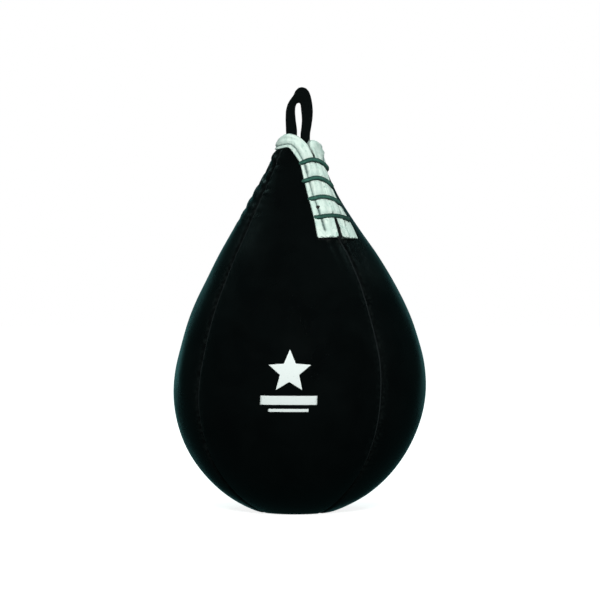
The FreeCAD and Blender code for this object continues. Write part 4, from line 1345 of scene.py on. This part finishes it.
PRINT_ACROSS = -7.3 * MM
STAR_HEIGHT = 102.5 * MM
STAR_RADIUS = 15 * MM
STAR_WAIST = 0.45
STAR_POINTS = 5
BARS = (("print_bar_wide", 83.5, 38, 6.0), ("print_bar_thin", 76.8, 27, 2.0))
PRINT_RINGS = 14
PRINT_SIDES = 20
PRINT_DEPTH = 0.10 * MM
PRINT_CENTRE = 0.02


def build_print(name, corners, height):
    """A flat printed shape on the front, laid on the curved leather: its corners and its middle."""
    steps = np.arange(PRINT_SIDES)[:, None] / PRINT_SIDES
    outline = np.concatenate([between(here, there, steps)
                              for here, there in zip(corners, np.roll(corners, -1, axis=0))])
    scales = np.append(np.linspace(PRINT_CENTRE, 1, PRINT_RINGS), 1)
    flat = outline * scales[:, None, None] + [PRINT_ACROSS, height]
    along = along_at(flat[..., 1])
    angle = FRONT + np.arcsin(flat[..., 0] / radius_at(along))
    out = leather_out(angle, along) + PRINT_DEPTH
    out[-1] -= 2 * PRINT_DEPTH
    printed = tube_object(name, surface(angle, along, out), flip=True)
    dress(printed, "bag", "leather_white", look="print_white")


def build_prints():
    turns = math.pi / 2 + np.arange(2 * STAR_POINTS) * math.pi / STAR_POINTS
    reach = STAR_RADIUS * np.where(np.arange(2 * STAR_POINTS) % 2, STAR_WAIST, 1)
    build_print("print_star", np.stack([reach * np.cos(turns), reach * np.sin(turns)], axis=1), STAR_HEIGHT)
    for name, height, length, thickness in BARS:
        corners = np.array([(1, -1), (1, 1), (-1, 1), (-1, -1)]) * [length * MM / 2, thickness * MM / 2]
        build_print(name, corners, height * MM)


# Floor, light and camera

CAMERA_DISTANCE = 1.3
PHOTO_WIDTH = 0.42995
CAMERA_ACROSS = 1.15 * MM
CAMERA_HEIGHT = 150.5 * MM
SENSOR = 36.0
FLOOR_RINGS = (0.02, 0.3, 1.0, 3.0, 9.0)
FLOOR_SIDES = 96
# The studio's brightness: behind the object for the camera, round it for soft light on cloth and
# leather, and as glossy leather mirrors it at the front and at both sides.
STUDIO_BACKDROP = 1.0
STUDIO_FILL = 0.15
MIRROR_FRONT = 0.025
MIRROR_LEFT = 0.25
MIRROR_RIGHT = 0.18
MIRROR_FROM = 0.87
MIRROR_TO = 0.97
SUN_POWER = 0.4
SUN_SPREAD = math.radians(80)
# The area lights: name, place, aim, size, power, colour, and whether the leather mirrors them.
LAMPS = (
    ("key", (0.02, -1.3, 0.75), (0.02, 0.0, 0.24), (0.4, 0.4), 18.6, "key_light", False),
    ("rim_left", (-0.8, 1.9, 0.3), (0.0, 0.0, 0.16), (0.4, 1.2), 0.25, "studio_mirror", True),
    ("rim_right", (0.9, 1.8, 0.35), (0.0, 0.0, 0.18), (0.4, 1.1), 0.15, "studio_mirror", True),
    ("back_left", (-0.8, 1.1, 1.7), (0.0, 0.0, 0.15), (0.9, 0.5), 4.6, "back_light", True),
    ("back_right", (0.8, 1.1, 1.7), (0.0, 0.0, 0.15), (0.9, 0.5), 4.6, "back_light", True),
)


def build_floor():
    turns = full_turn(FLOOR_SIDES)
    circle = np.stack([np.cos(turns), np.sin(turns), np.zeros(FLOOR_SIDES)], axis=1)
    faces = grid_faces(len(FLOOR_RINGS), FLOOR_SIDES, wrap=True)
    faces.append(tuple(range(FLOOR_SIDES)))
    floor = new_object("floor", np.array(FLOOR_RINGS)[:, None, None] * circle, faces)
    floor.data.materials.append(make_floor_material())
    floor.visible_glossy = False
    floor.visible_diffuse = False


def build_world():
    """A white studio: full white for the camera, and a dim room with paler sides in reflections."""
    world = bpy.data.worlds.new("studio")
    kit = Nodes(world, "Generated")
    world.cycles.sampling_method = "NONE"
    across, deep = [kit.add("ShaderNodeSeparateXYZ", {0: kit.place}, axis) for axis in "XY"]
    glossy, direct = [kit.add("ShaderNodeLightPath", {}, ray) for ray in ("Is Glossy Ray", "Is Camera Ray")]
    side = kit.spread(across, -1, 1, MIRROR_LEFT, MIRROR_RIGHT)
    mirror = kit.spread(deep, MIRROR_FROM, MIRROR_TO, MIRROR_FRONT, side)
    seen = kit.spread(glossy, 0, 1, STUDIO_FILL, mirror)
    seen = kit.spread(direct, 0, 1, seen, STUDIO_BACKDROP)
    tint = kit.mix(direct, kit.mix(glossy, "studio_fill", "studio_mirror"), "studio_white")
    bpy.context.scene.world = kit.finish("Background", Color=tint, Strength=seen)


def build_camera():
    data = bpy.data.cameras.new("camera")
    data.sensor_width = SENSOR
    data.lens = SENSOR * CAMERA_DISTANCE / PHOTO_WIDTH
    camera = link_object("camera", data)
    camera.location = (CAMERA_ACROSS, -CAMERA_DISTANCE, CAMERA_HEIGHT)
    camera.rotation_euler = (math.pi / 2, 0.0, 0.0)
    bpy.context.scene.camera = camera


def build_lamp(name, kind, mirrored, **settings):
    data = bpy.data.lights.new(name, kind)
    for key, value in settings.items():
        setattr(data, key, value)
    lamp = link_object(name, data)
    lamp.visible_glossy = mirrored
    return lamp


def build_lamps():
    """The area lights, and light from above that keeps the floor as white as the studio behind it."""
    build_lamp("overhead", "SUN", False, energy=SUN_POWER, angle=SUN_SPREAD)
    for name, place, aim, (width, height), power, tint, mirrored in LAMPS:
        lamp = build_lamp(name, "AREA", mirrored, shape="RECTANGLE", size=width, size_y=height,
                          energy=power, color=COLOURS[tint])
        lamp.location = place
        lamp.rotation_euler = (Vector(aim) - Vector(place)).to_track_quat("-Z", "Y").to_euler()


# Everything

make_materials()
finish_cad_nodes()
for quarter_number, side_name in enumerate(SIDES):
    build_panel(side_name, quarter_number)
for quarter_number, seam_name in enumerate(SEAMS):
    build_welt(seam_name, quarter_number)
for quarter_number, side_name in enumerate(SIDES):
    build_lining(side_name, quarter_number)
build_tongue()
build_placket()
build_placket_stitching()
build_thread_knot()
build_lace()
build_loop()
build_prints()
build_floor()
build_world()
build_camera()
build_lamps()
bpy.context.scene.view_settings.view_transform = "Standard"
